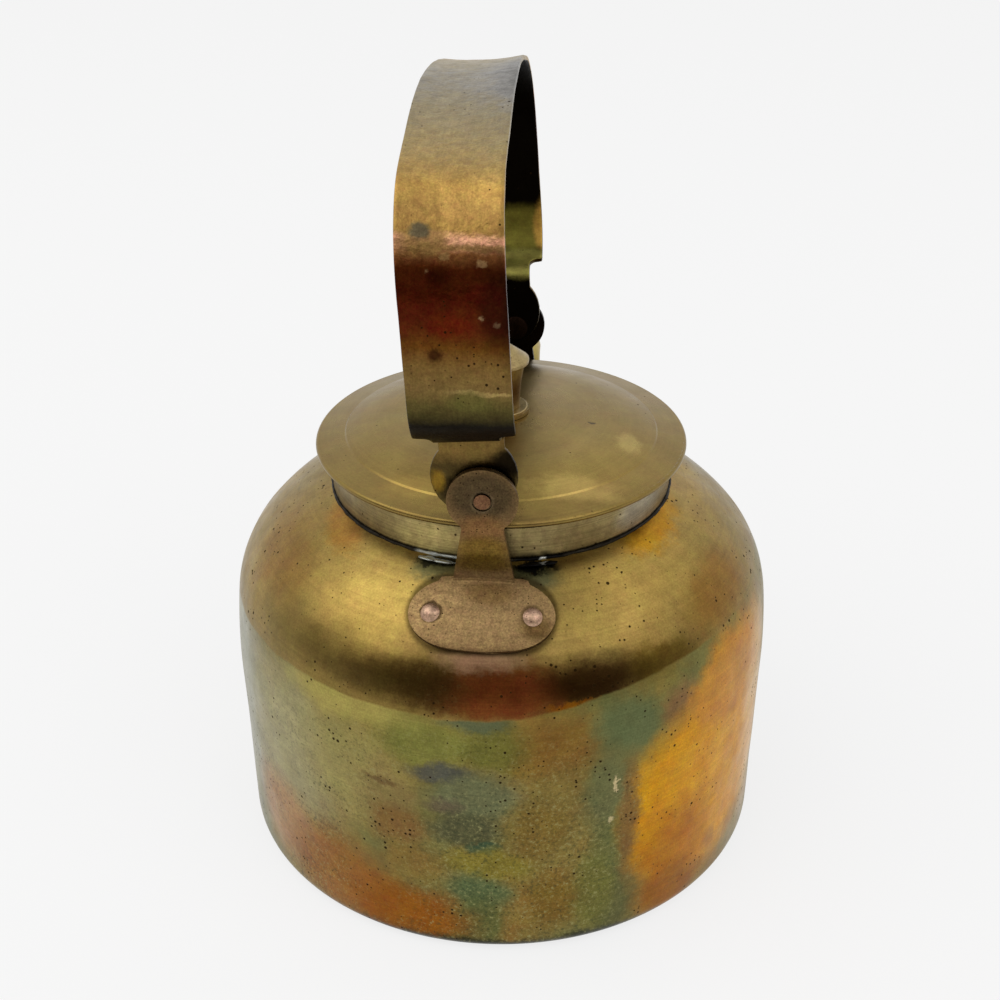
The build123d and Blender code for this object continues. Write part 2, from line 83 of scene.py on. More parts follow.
def white_share(tree, share):
    """This share where the camera, a mirror or a glass looks, and none where light is gathered."""
    ray = add_node(tree, "ShaderNodeLightPath").outputs
    seen = add_node(
        tree, "ShaderNodeMath", {0: ray["Is Camera Ray"], 1: ray["Is Glossy Ray"]},
        operation="MAXIMUM",
    ).outputs[0]
    seen = add_node(
        tree, "ShaderNodeMath", {0: seen, 1: ray["Is Transmission Ray"]}, operation="MAXIMUM"
    ).outputs[0]
    return add_node(tree, "ShaderNodeMath", {0: seen, 1: share}, operation="MULTIPLY").outputs[0]


bpy.ops.object.camera_add(
    location=(
        CAMERA_REACH * math.sin(CAMERA_TURN),
        -CAMERA_REACH * math.cos(CAMERA_TURN),
        CAMERA_HEIGHT,
    ),
    rotation=(math.pi / 2 - CAMERA_PITCH, CAMERA_ROLL, CAMERA_TURN),
)
camera = bpy.context.object
camera.data.lens = 54.0
camera.data.sensor_width = 36.0
bpy.context.scene.camera = camera

# Matt paper, shown mostly at its own white so that only the kettle's shadow greys it
bpy.ops.mesh.primitive_plane_add(size=16, location=(0, 0, 0))
table = bpy.context.object
table.name = "white_table"
paper = bpy.data.materials.new("matt_white_paper")
paper.use_nodes = True
tree = paper.node_tree
tree.nodes.clear()
matt = add_node(tree, "ShaderNodeBsdfDiffuse", {"Color": srgb("#f7f7f7")})
plain = add_node(tree, "ShaderNodeEmission", {"Color": srgb("#f9f9f9"), "Strength": 1.0})
sheet = add_node(
    tree, "ShaderNodeMixShader",
    {0: white_share(tree, 0.82), 1: matt.outputs[0], 2: plain.outputs[0]},
)
add_node(tree, "ShaderNodeOutputMaterial", {"Surface": sheet.outputs[0]})
table.data.materials.append(paper)

world = bpy.data.worlds.new("white_studio")
bpy.context.scene.world = world
world.use_nodes = True
sky = world.node_tree
sky.nodes.clear()
shown = add_node(sky, "ShaderNodeBackground", {"Color": srgb(BACKDROP_WHITE), "Strength": 1.0})
lit = add_node(sky, "ShaderNodeBackground", {"Color": srgb(BACKDROP_WHITE), "Strength": ROOM_LIGHT})
choice = add_node(
    sky, "ShaderNodeMixShader", {0: white_share(sky, 1.0), 1: lit.outputs[0], 2: shown.outputs[0]}
)
add_node(sky, "ShaderNodeOutputWorld", {"Surface": choice.outputs[0]})


def soft_lamp(place, size, watts):
    """A square softbox that looks at the middle of the kettle."""
    aim = Vector((0, 0, 0.12)) - Vector(place)
    bpy.ops.object.light_add(
        type="AREA", location=place, rotation=aim.to_track_quat("-Z", "Y").to_euler()
    )
    lamp = bpy.context.object.data
    lamp.size = size
    lamp.energy = watts


soft_lamp((-1.1, -0.5, 1.5), 1.8, 11)
soft_lamp((1.2, -0.9, 1.2), 1.4, 6)

# The dim room behind the camera, which polished metal shows above the table's far edge
bpy.ops.mesh.primitive_circle_add(vertices=48, radius=2.4, location=(0, 0, 0))
room = bpy.context.object
room.name = "dim_room"
bpy.ops.object.mode_set(mode="EDIT")
bpy.ops.mesh.select_all(action="SELECT")
bpy.ops.mesh.extrude_edges_move(TRANSFORM_OT_translate={"value": (0, 0, 2.2)})
bpy.ops.mesh.select_all(action="SELECT")
bpy.ops.mesh.bisect(plane_co=(0, -0.4, 0), plane_no=(0, 1, 0), clear_outer=True)
bpy.ops.object.mode_set(mode="OBJECT")
dusk = bpy.data.materials.new("dim_wall")
dusk.use_nodes = True
dusk.node_tree.nodes.clear()
glow = add_node(dusk.node_tree, "ShaderNodeEmission", {"Color": srgb("#8c8479"), "Strength": 1.0})
add_node(dusk.node_tree, "ShaderNodeOutputMaterial", {"Surface": glow.outputs[0]})
room.data.materials.append(dusk)
room.visible_camera = False
room.visible_diffuse = False
room.visible_shadow = False


# Body: one brass sheet, raised by hand over a stake and heat-tinted and tarnished by years on
# the fire. The wall is turned in at the foot to the lip that it stands on, and upturned at the
# mouth to the neck that the collar is soldered over.
SHEET = 1.2 * MM
SHOULDER_START = math.radians(20.0)
SHOULDER_BREAK = math.radians(48.0)
BELLY_START = math.radians(84.4)
WALL_TAPER = math.radians(1.0)
SHOULDER_RADIUS = 61.6 * MM
TURN_RADIUS = 36.0 * MM
BELLY_RADIUS = 232.0 * MM
FOOT_CORNER = 5.0 * MM
LIP_WIDTH = 6.0 * MM
BODY_SIDES = 256
DENT_DEPTH = 0.35 * MM
DENT_SPREAD = 26 * MM
FOOT_HOLD = 6 * MM
FOOT_FADE = 20 * MM
NECK_FADE = 8 * MM
NECK_INSET = 1.25 * MM
NECK_RISE = 0.45 * MM
COLLAR_FOOT = 125.2 * MM
COLLAR_RADIUS = 55.1 * MM
SPOUT_HOLE = 13.0 * MM
SPOUT_RISE = math.radians(25.0)
HOLE_MIDDLE = (0, 84 * MM, 41 * MM)
HOLE_DEPTH = 36 * MM
_, body_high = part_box("body_shell")


def arc_points(start, slope, radius, turn, steps):
    """Points along an arc that starts at this slope below level and steepens by turn."""
    across = start[0] - radius * math.sin(slope)
    up = start[1] - radius * math.cos(slope)
    angles = [slope + turn * step / steps for step in range(1, steps + 1)]
    return [(across + radius * math.sin(a), up + radius * math.cos(a)) for a in angles]


def raise_sheet(name, line, sides):
    """Draws a circle out ring by ring along a line of (radius, height)."""
    radius, height = line[0]
    bpy.ops.object.select_all(action="DESELECT")
    bpy.ops.mesh.primitive_circle_add(vertices=sides, radius=radius, location=(0, 0, height))
    piece = bpy.context.object
    piece.name = name
    bpy.ops.object.transform_apply(location=True)
    bpy.ops.object.mode_set(mode="EDIT")
    bpy.ops.mesh.select_all(action="SELECT")
    for next_radius, next_height in line[1:]:
        grow = next_radius / radius
        bpy.ops.mesh.extrude_edges_move(
            TRANSFORM_OT_translate={"value": (0, 0, next_height - height)}
        )
        bpy.ops.transform.resize(value=(grow, grow, 1), center_override=(0, 0, next_height))
        radius, height = next_radius, next_height
    bpy.ops.mesh.select_all(action="SELECT")
    bpy.ops.mesh.normals_make_consistent(inside=False)
    bpy.ops.object.mode_set(mode="OBJECT")
    return piece


def apply_modifier(piece, kind, **settings):
    """Adds a modifier with its settings and applies it to the mesh."""
    modifier = piece.modifiers.new(kind.lower(), kind)
    for name, value in settings.items():
        setattr(modifier, name, value)
    bpy.context.view_layer.objects.active = piece
    bpy.ops.object.modifier_apply(modifier=modifier.name)


def finish_piece(piece, body_name, slot_name, *replaced):
    """Smooth shading broken at the edges, then what the piece stands for and rides on."""
    bpy.ops.object.select_all(action="DESELECT")
    piece.select_set(True)
    bpy.context.view_layer.objects.active = piece
    bpy.ops.object.shade_smooth_by_angle(angle=math.radians(35))
    if replaced:
        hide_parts(*replaced)
    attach(piece, body_name)


neck_radius = COLLAR_RADIUS - NECK_INSET
body_line = [
    (neck_radius, body_high[2]), (neck_radius, COLLAR_FOOT + NECK_RISE),
    (COLLAR_RADIUS, COLLAR_FOOT),
]
body_line += arc_points(
    body_line[-1], SHOULDER_START, SHOULDER_RADIUS, SHOULDER_BREAK - SHOULDER_START, 14
)
body_line += arc_points(
    body_line[-1], SHOULDER_BREAK, TURN_RADIUS, BELLY_START - SHOULDER_BREAK, 14
)
belly_turn = math.pi / 2 + WALL_TAPER - BELLY_START
body_line += arc_points(body_line[-1], BELLY_START, BELLY_RADIUS, belly_turn, 10)
belly_end = body_line[-1]
wall_end_height = FOOT_CORNER * (1 - math.sin(WALL_TAPER))
wall_drop = belly_end[1] - wall_end_height
for step in range(1, 27):
    fall = wall_drop * step / 26
    body_line.append((belly_end[0] - fall * math.tan(WALL_TAPER), belly_end[1] - fall))
body_line += arc_points(
    body_line[-1], math.pi / 2 + WALL_TAPER, FOOT_CORNER, math.pi / 2 - WALL_TAPER, 8
)
body_line.append((body_line[-1][0] - LIP_WIDTH, 0.0))
widest = max(radius for radius, height in body_line)
body_line = [(radius * body_high[0] / widest, height) for radius, height in body_line]

body = raise_sheet("raised_body", body_line, BODY_SIDES)
swell = body.vertex_groups.new(name="hammered")
for vertex in body.data.vertices:
    over_foot = max(0.0, (vertex.co.z - FOOT_HOLD) / FOOT_FADE)
    under_neck = max(0.0, (COLLAR_FOOT - vertex.co.z) / NECK_FADE)
    swell.add([vertex.index], min(1.0, over_foot, under_neck), "REPLACE")
dents = bpy.data.textures.new("hammer_dents", "CLOUDS")
dents.noise_scale = DENT_SPREAD
dents.noise_depth = 1
apply_modifier(
    body, "DISPLACE", texture=dents, strength=DENT_DEPTH, mid_level=1.0, vertex_group="hammered"
)
# The sheet's outer skin takes the first material and its inner skin the second
body.data.materials.append(None)
body.data.materials.append(None)
apply_modifier(body, "SOLIDIFY", thickness=SHEET, offset=-1.0, material_offset=1)

# The hole in the wall that the spout stands over
bpy.ops.object.select_all(action="DESELECT")
bpy.ops.mesh.primitive_cylinder_add(
    vertices=64, radius=SPOUT_HOLE, depth=HOLE_DEPTH, location=HOLE_MIDDLE,
    rotation=(SPOUT_RISE - math.pi / 2, 0, 0),
)
drill = bpy.context.object
apply_modifier(body, "BOOLEAN", object=drill, operation="DIFFERENCE")
bpy.data.objects.remove(drill)
finish_piece(body, "kettle", "patinated_brass", "body_shell")


def lay_tint(tree, place, below, middle, reach, code, strength, softness=0.8):
    """Lays one patch of colour, a stain or painted light, over the colour below; middle and reach
    are in millimetres.
    """
    inverse = [1 / (length * MM) for length in reach]
    shift = [-middle[axis] * MM * inverse[axis] for axis in range(3)]
    offset = add_node(
        tree, "ShaderNodeVectorMath", {0: place, 1: inverse, 2: shift}, operation="MULTIPLY_ADD"
    )
    span = add_node(tree, "ShaderNodeVectorMath", {0: offset.outputs[0]}, operation="LENGTH")
    mask = add_node(
        tree, "ShaderNodeMapRange",
        {
            "Value": span.outputs["Value"], "From Min": 0.9 - softness / 2,
            "From Max": 0.9 + softness / 2, "To Min": strength, "To Max": 0.0,
        },
        interpolation_type="SMOOTHSTEP",
    )
    mix = add_node(
        tree, "ShaderNodeMix", {0: mask.outputs[0], 6: below, 7: srgb(code)}, data_type="RGBA"
    )
    return mix.outputs[2]


def vary(tree, here, below, size, detail, depth, hue=0.0):
    """Lightens, darkens and tints the colour below in patches of this size in millimetres."""
    cloud = add_node(
        tree, "ShaderNodeTexNoise",
        {"Vector": here, "Scale": 1 / (size * MM), "Detail": detail, "Roughness": 0.66},
    )
    shade = add_node(
        tree, "ShaderNodeMapRange",
        {
            "Value": cloud.outputs["Fac"], "From Min": 0.3, "From Max": 0.7, "To Min": 1 - depth,
            "To Max": 1 + depth,
        },
    )
    tone = add_node(
        tree, "ShaderNodeMapRange",
        {
            "Value": cloud.outputs["Color"], "From Min": 0.3, "From Max": 0.7, "To Min": 0.5 - hue,
            "To Max": 0.5 + hue,
        },
    )
    shift = add_node(
        tree, "ShaderNodeHueSaturation",
        {"Hue": tone.outputs[0], "Saturation": 1.0, "Value": shade.outputs[0], "Color": below},
    )
    return cloud.outputs["Fac"], shift.outputs[0]


def old_metal(
    name, colour, tints=(), warp=6.0, mottle=7.0, mottle_depth=0.2, grain=0.1, speck=2.0,
    speck_share=0.26, brush=(25, 25, 1400), turned=0, brush_depth=0.1, rough=(0.26, 0.46),
    dent=0.0, dent_size=9.0, crackle=None,
):
    """Old metal in layers: base colour, stains and painted light, cloudy tarnish, grain, brush
    marks and specks.

    warp, mottle, speck, dent and dent_size are in millimetres, brush and turned in lines a metre.
    """
    material = bpy.data.materials.new(name)
    material.use_nodes = True
    tree = material.node_tree
    shader = tree.nodes["Principled BSDF"]
    shader.inputs["Metallic"].default_value = 1.0
    here = add_node(tree, "ShaderNodeTexCoord").outputs["Object"]

    # Stains have ragged edges, so the place that they are laid by wanders by a few millimetres
    drift = add_node(
        tree, "ShaderNodeTexNoise",
        {"Vector": here, "Scale": 1 / (2.6 * warp * MM), "Detail": 8.0, "Roughness": 0.76},
    )
    drift = add_node(
        tree, "ShaderNodeVectorMath", {0: drift.outputs["Color"], 1: (0.5, 0.5, 0.5)},
        operation="SUBTRACT",
    )
    wander = (2.6 * warp * MM,) * 3
    place = add_node(
        tree, "ShaderNodeVectorMath", {0: drift.outputs[0], 1: wander, 2: here},
        operation="MULTIPLY_ADD",
    ).outputs[0]

    if isinstance(colour, str):
        below = add_node(tree, "ShaderNodeRGB").outputs[0]
        below.default_value = srgb(colour)
    else:
        below = colour(tree, here, place)
    for tint in tints:
        below = lay_tint(tree, place, below, *tint)

    # Cloudy tarnish in patches of a few millimetres, and grain under a millimetre
    cloud, below = vary(tree, here, below, mottle, 8.0, mottle_depth, 0.012)
    fine, below = vary(tree, here, below, 0.6, 2.0, grain, 0.008)
    if crackle:
        below = crackle(tree, here, place, below)

    # Brush marks the way that the piece was rubbed, or rings where it was turned, drawn about
    # 0.7 to 1.1 mm apart: coarser than the real ones, so that they show from a step away
    stroke = add_node(
        tree, "ShaderNodeVectorMath", {0: here, 1: brush}, operation="MULTIPLY"
    ).outputs[0]
    if turned:
        flat = add_node(
            tree, "ShaderNodeVectorMath", {0: here, 1: (turned, turned, 0)}, operation="MULTIPLY"
        )
        ring = add_node(
            tree, "ShaderNodeVectorMath", {0: flat.outputs[0]}, operation="LENGTH"
        ).outputs["Value"]
        ring = add_node(tree, "ShaderNodeCombineXYZ", {0: ring}).outputs[0]
        stroke = add_node(
            tree, "ShaderNodeVectorMath", {0: stroke, 1: ring}, operation="ADD"
        ).outputs[0]
    lines = add_node(
        tree, "ShaderNodeTexNoise",
        {"Vector": stroke, "Scale": 1.0, "Detail": 4.0, "Roughness": 0.7},
    )
    line_shade = add_node(
        tree, "ShaderNodeMapRange",
        {
            "Value": lines.outputs["Fac"], "From Min": 0.3, "From Max": 0.7,
            "To Min": 1 - brush_depth, "To Max": 1 + brush_depth,
        },
    )
    below = add_node(
        tree, "ShaderNodeHueSaturation",
        {"Hue": 0.5, "Saturation": 1.0, "Value": line_shade.outputs[0], "Color": below},
    ).outputs[0]

    # Corrosion specks, dark dots of a few tenths of a millimetre that gather in patches
    cells = add_node(tree, "ShaderNodeTexVoronoi", {"Vector": here, "Scale": 1 / (speck * MM)})
    size = add_node(tree, "ShaderNodeSeparateColor", {0: cells.outputs["Color"]}).outputs[0]
    patch = add_node(
        tree, "ShaderNodeTexNoise", {"Vector": here, "Scale": 1 / (18 * MM), "Detail": 2.0}
    )
    patch = add_node(
        tree, "ShaderNodeMapRange",
        {
            "Value": patch.outputs["Fac"], "From Min": 0.35, "From Max": 0.65, "To Min": 0.12,
            "To Max": 1.0,
        },
    ).outputs[0]
    limit = add_node(tree, "ShaderNodeMath", {0: size, 1: 3.0}, operation="POWER").outputs[0]
    limit = add_node(
        tree, "ShaderNodeMath", {0: limit, 1: speck_share}, operation="MULTIPLY"
    ).outputs[0]
    limit = add_node(tree, "ShaderNodeMath", {0: limit, 1: patch}, operation="MULTIPLY").outputs[0]
    dot = add_node(
        tree, "ShaderNodeMath", {0: limit, 1: cells.outputs["Distance"]}, operation="SUBTRACT"
    )
    dot = add_node(
        tree, "ShaderNodeMapRange",
        {
            "Value": dot.outputs[0], "From Min": -0.04, "From Max": 0.06, "To Min": 0.0,
            "To Max": 0.85,
        },
    )
    below = add_node(
        tree, "ShaderNodeMix", {0: dot.outputs[0], 6: below, 7: srgb("#33240f")}, data_type="RGBA"
    ).outputs[2]
    tree.links.new(below, shader.inputs["Base Color"])

    gloss = add_node(
        tree, "ShaderNodeTexNoise",
        {"Vector": here, "Scale": 1 / (1.7 * mottle * MM), "Detail": 7.0, "Roughness": 0.7},
    )
    gloss = add_node(
        tree, "ShaderNodeMapRange",
        {
            "Value": gloss.outputs["Fac"], "From Min": 0.3, "From Max": 0.7, "To Min": rough[0],
            "To Max": rough[1],
        },
    )
    gloss = add_node(
        tree, "ShaderNodeMath", {0: gloss.outputs[0], 1: dot.outputs[0]}, operation="MAXIMUM"
    )
    tree.links.new(gloss.outputs[0], shader.inputs["Roughness"])

    relief = add_node(
        tree, "ShaderNodeMath", {0: lines.outputs["Fac"], 1: 0.3, 2: cloud},
        operation="MULTIPLY_ADD",
    ).outputs[0]
    relief = add_node(
        tree, "ShaderNodeMath", {0: fine, 1: 0.3, 2: relief}, operation="MULTIPLY_ADD"
    ).outputs[0]
    relief = add_node(
        tree, "ShaderNodeMath", {0: relief, 1: dot.outputs[0]}, operation="SUBTRACT"
    ).outputs[0]
    bump = add_node(
        tree, "ShaderNodeBump", {"Strength": 1.0, "Distance": 0.04 * MM, "Height": relief}
    )
    if dent:
        wave = add_node(
            tree, "ShaderNodeTexNoise",
            {"Vector": here, "Scale": 1 / (dent_size * MM), "Detail": 2.0},
        )
        bump = add_node(
            tree, "ShaderNodeBump",
            {
                "Strength": 1.0, "Distance": dent * MM, "Height": wave.outputs["Fac"],
                "Normal": bump.outputs[0],
            },
        )
    tree.links.new(bump.outputs[0], shader.inputs["Normal"])
    return material


def dress(material, *names):
    """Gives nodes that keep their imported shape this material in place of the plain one."""
    for name in names:
        nodes[name].data.materials.clear()
        nodes[name].data.materials.append(material)


def olive_tarnish(tree, here, place):
    """Olive tarnish that turns to green and brown in broad clouds."""
    broad = add_node(
        tree, "ShaderNodeTexNoise",
        {"Vector": place, "Scale": 1 / (50 * MM), "Detail": 5.0, "Roughness": 0.62},
    )
    return add_node(
        tree,
        "ShaderNodeValToRGB",
        {0: broad.outputs["Fac"]},
        stops=[(0.30, "#62683e"), (0.42, "#766f3e"), (0.54, "#84723a"), (0.68, "#8a662e")],
    ).outputs[0]


# The painted edge of the table's reflection, where the lighter wall meets the darker shoulder, lies
# at this height, and higher by this share of the way towards +X
REFLECTION_LINE_HEIGHT = 92.2 * MM
REFLECTION_LINE_CLIMB = 0.13

# Stains and painted light of the wall and of the shoulder, the lowest layer first: middle and reach
# in millimetres, colour, strength and softness of the edge
wall_stains_and_painted_light = [
    # The pale grey column at the left edge is a painted reflection of the white backdrop
    ((-84, -34, 62), (14, 30, 48), "#a09f8c", 0.9, 1.0),
    ((-62, -64, 60), (24, 26, 30), "#9c9368", 0.9, 1.0),
    ((-41, -80, 66), (20, 16, 22), "#988c52", 0.85, 1.0),
    ((-42, -79, 88), (28, 20, 6), "#a49650", 0.85, 0.9),
    ((-14, -88, 81), (19, 9, 9), "#78783a", 0.85, 0.9),
    ((6, -89, 81), (12, 8, 10), "#68672f", 0.85, 0.9),
    ((0, -89, 89.5), (11, 6, 2.6), "#56624a", 0.75, 1.0),
    ((26, -85, 80), (14, 9, 13), "#7c5a28", 0.85, 1.0),
    ((25, -86, 62), (12, 8, 13), "#7a6835", 0.85, 0.9),
    ((45, -77, 84), (12, 10, 11), "#5e6642", 0.9, 0.9),
    ((39, -81, 60), (8, 7, 17), "#626541", 0.85, 0.8),
    ((40, -80, 34), (8, 7, 17), "#5e6238", 0.85, 0.8),
    ((42, -78, 14), (9, 8, 13), "#595a34", 0.85, 0.8),
    ((-28, -85, 60), (12, 9, 12), "#847042", 0.8, 1.0),
    ((-30, -85, 64), (7, 4, 1.6), "#6a5230", 0.8, 0.8),
    ((-25, -86, 48), (11, 7, 8), "#7d5b30", 0.85, 0.9),
    ((-1, -90, 63), (15, 7, 11), "#646a4c", 0.85, 0.8),
    ((-12, -89, 71), (10, 6, 3.4), "#4c4d48", 0.85, 1.0),
    ((-10, -89, 59), (7, 5, 3), "#5c4c3e", 0.7, 1.0),
    ((-4, -90, 50), (12, 7, 8), "#525238", 0.9, 0.7),
    ((2, -89, 43), (6, 5, 2.4), "#36503c", 0.85, 0.7),
    ((4, -89, 37), (16, 7, 6), "#82742c", 0.85, 0.8),
    ((0, -89, 25), (11, 7, 8), "#51623f", 0.85, 0.8),
    ((0, -89, 12), (10, 7, 12), "#5a6035", 0.85, 0.8),
    ((19, -88, 49), (11, 7, 12), "#7b622c", 0.85, 0.9),
    ((23, -86, 20), (11, 8, 13), "#765a22", 0.85, 0.9),
    ((35, -82, 22), (8, 7, 17), "#6c6830", 0.85, 0.8),
    ((37, -81, 3), (10, 8, 3), "#33382a", 0.85, 0.7),
    ((-68, -58, 25), (17, 18, 17), "#a87d50", 0.9, 1.0),
    ((-48, -75, 18), (27, 20, 17), "#925d20", 0.9, 0.9),
    ((-24, -85, 10), (24, 11, 16), "#8c500a", 0.95, 0.8),
    ((-21, -87, 34), (12, 8, 8), "#83662f", 0.8, 0.9),
    ((60, -67, 84), (6, 8, 8), "#7c5a38", 0.8, 0.8),
    ((68, -52, 46), (29, 60, 38), "#c98c06", 0.97, 0.4),
    ((76, -46, 82), (15, 40, 17), "#bb8028", 0.95, 0.45),
    ((60, -64, 27), (18, 18, 19), "#a8690c", 0.9, 0.9),
    ((60, -67, 10), (15, 14, 11), "#8f560f", 0.9, 0.9),
    ((46, -77, 48), (3.4, 7, 24), "#6a5232", 0.75, 1.0),
    # The pale column at the right edge is a painted reflection of the white backdrop
    ((87, -26, 55), (6, 14, 44), "#d2ab70", 0.75, 1.0),
    ((73, -51, 19), (4, 4, 5), "#9b6828", 0.6),
    ((41, -80, 63), (0.8, 3, 3), "#c8b487", 0.8, 0.6),
    ((40, -80, 50), (1.0, 3, 2), "#c8b487", 0.8, 0.6),
    # Painted shade along the foot, where the wall turns under
    ((0, -90, 0), (80, 34, 5), "#24240f", 0.95, 0.8),
]
shoulder_stains_and_painted_light = [
    # This and the next stain: golden patches to the left and right of the collar, painted
    # highlights
    ((-35, -66, 114), (24, 16, 10), "#a68b48", 0.8, 1.0),
    ((46, -46, 120), (24, 20, 9), "#ad904b", 0.7, 1.0),
    ((-56, -60, 103), (24, 20, 9), "#806b38", 0.7, 1.0),
    # Orange-gold near the collar, partly heat tint and partly a painted glint
    ((-46, -34, 124), (8, 20, 4), "#9a6c2c", 0.75),
    ((-66, -36, 113), (14, 24, 9), "#84602e", 0.7, 1.0),
    # Orange-gold near the collar, partly heat tint and partly a painted glint
    ((48, -28, 124.5), (12, 22, 4.5), "#b37f10", 0.85),
    ((72, -40, 108), (14, 24, 9), "#8a622a", 0.8, 0.9),
    ((54, -66, 100), (17, 14, 6), "#5d4816", 0.85, 0.8),
    ((0, -80, 110), (28, 12, 6), "#735c35", 0.6, 0.9),
    # From here to the black smudge at +X, the dark red-brown band under the near ear's plate:
    # partly heat tint, partly a painted reflection of the near strap
    ((4, -84, 99), (50, 16, 8), "#4e3414", 0.85, 0.9),
    ((-30, -80, 99), (14, 10, 5), "#5e4c22", 0.7, 1.0),
    ((-9, -86, 99), (14, 8, 6), "#54351a", 0.8, 1.0),
    ((9, -86, 98), (19, 10, 9), "#7e4220", 0.92, 0.95),
    ((-18, -84, 100), (15, 10, 6), "#463516", 0.75, 1.0),
    ((-38, -75, 98), (15, 12, 4.5), "#64522a", 0.6, 1.0),
    ((35, -79, 100), (18, 12, 7), "#2e1b0a", 0.9, 1.0),
    ((30, -83, 93.5), (11, 8, 2), "#8f5510", 0.9, 0.6),
    # Painted pink highlight under the plate
    ((1, -81, 107), (13, 8, 3.4), "#a47f62", 0.75, 1.0),
    ((-14, -58, 123.5), (9, 6, 3.6), "#4c5238", 0.75, 0.9),
    ((14, -59, 123.2), (9, 6, 3.6), "#4a5038", 0.8, 0.9),
    ((15, -56, 124.6), (8, 4, 1.8), "#12110e", 0.95, 0.6),
    ((-14, -56, 124.8), (8, 4, 1.4), "#1c1a14", 0.85, 0.6),
]


def body_tarnish_and_painted_light(tree, here, place):
    """The stained wall, and the golden shoulder above a sharp line that is the painted edge of the
    table's reflection, with painted shade just above it.
    """
    wall = olive_tarnish(tree, here, place)
    for tint in wall_stains_and_painted_light:
        wall = lay_tint(tree, place, wall, *tint)
    gold = add_node(
        tree, "ShaderNodeTexNoise", {"Vector": place, "Scale": 1 / (50 * MM), "Detail": 5.0}
    )
    shoulder = add_node(
        tree,
        "ShaderNodeValToRGB",
        {0: gold.outputs["Fac"]},
        stops=[(0.30, "#7c6a3a"), (0.45, "#8f783f"), (0.60, "#9d8346"), (0.74, "#8a6834")],
    ).outputs[0]
    for tint in shoulder_stains_and_painted_light:
        shoulder = lay_tint(tree, place, shoulder, *tint)

    # The line wavers by a few millimetres and climbs towards +X
    edge = add_node(
        tree, "ShaderNodeTexNoise", {"Vector": here, "Scale": 1 / (14 * MM), "Detail": 5.0}
    )
    axes = add_node(tree, "ShaderNodeSeparateXYZ", {0: here}).outputs
    past = add_node(
        tree, "ShaderNodeMath", {0: axes["X"], 1: 5 * MM}, operation="SUBTRACT"
    ).outputs[0]
    past = add_node(tree, "ShaderNodeMath", {0: past, 1: 0.0}, operation="MAXIMUM").outputs[0]
    height = add_node(
        tree, "ShaderNodeMath", {0: past, 1: -REFLECTION_LINE_CLIMB, 2: axes["Z"]}, operation="MULTIPLY_ADD"
    )
    height = add_node(
        tree, "ShaderNodeMath", {0: edge.outputs["Fac"], 1: 4 * MM, 2: height.outputs[0]},
        operation="MULTIPLY_ADD",
    ).outputs[0]
    over = add_node(
        tree, "ShaderNodeMapRange",
        {"Value": height, "From Min": REFLECTION_LINE_HEIGHT, "From Max": REFLECTION_LINE_HEIGHT + 1 * MM},
        interpolation_type="SMOOTHSTEP",
    ).outputs[0]
    # Painted shade: the shoulder just above the line is darkened as a painted reflection of the dim
    # room, fading out upwards
    shade = add_node(
        tree, "ShaderNodeMapRange",
        {"Value": height, "From Min": 93 * MM, "From Max": 110 * MM, "To Min": 0.84, "To Max": 1.0},
        interpolation_type="SMOOTHSTEP",
    ).outputs[0]
    shoulder = add_node(
        tree, "ShaderNodeHueSaturation",
        {"Hue": 0.5, "Saturation": 1.0, "Value": shade, "Color": shoulder},
    ).outputs[0]
    below = add_node(
        tree, "ShaderNodeMix", {0: over, 6: wall, 7: shoulder}, data_type="RGBA"
    ).outputs[2]

    # Black dirt and painted shadow round the edge of the near ear's plate
    for across in (-10.1, -5, 0, 5, 10.1):
        middle = (across, -71 + across**2 / 140, 116.2)
        below = lay_tint(tree, here, below, middle, (14.0, 14.0, 14.0), "#2a1d0c", 0.75, 0.14)
    return below


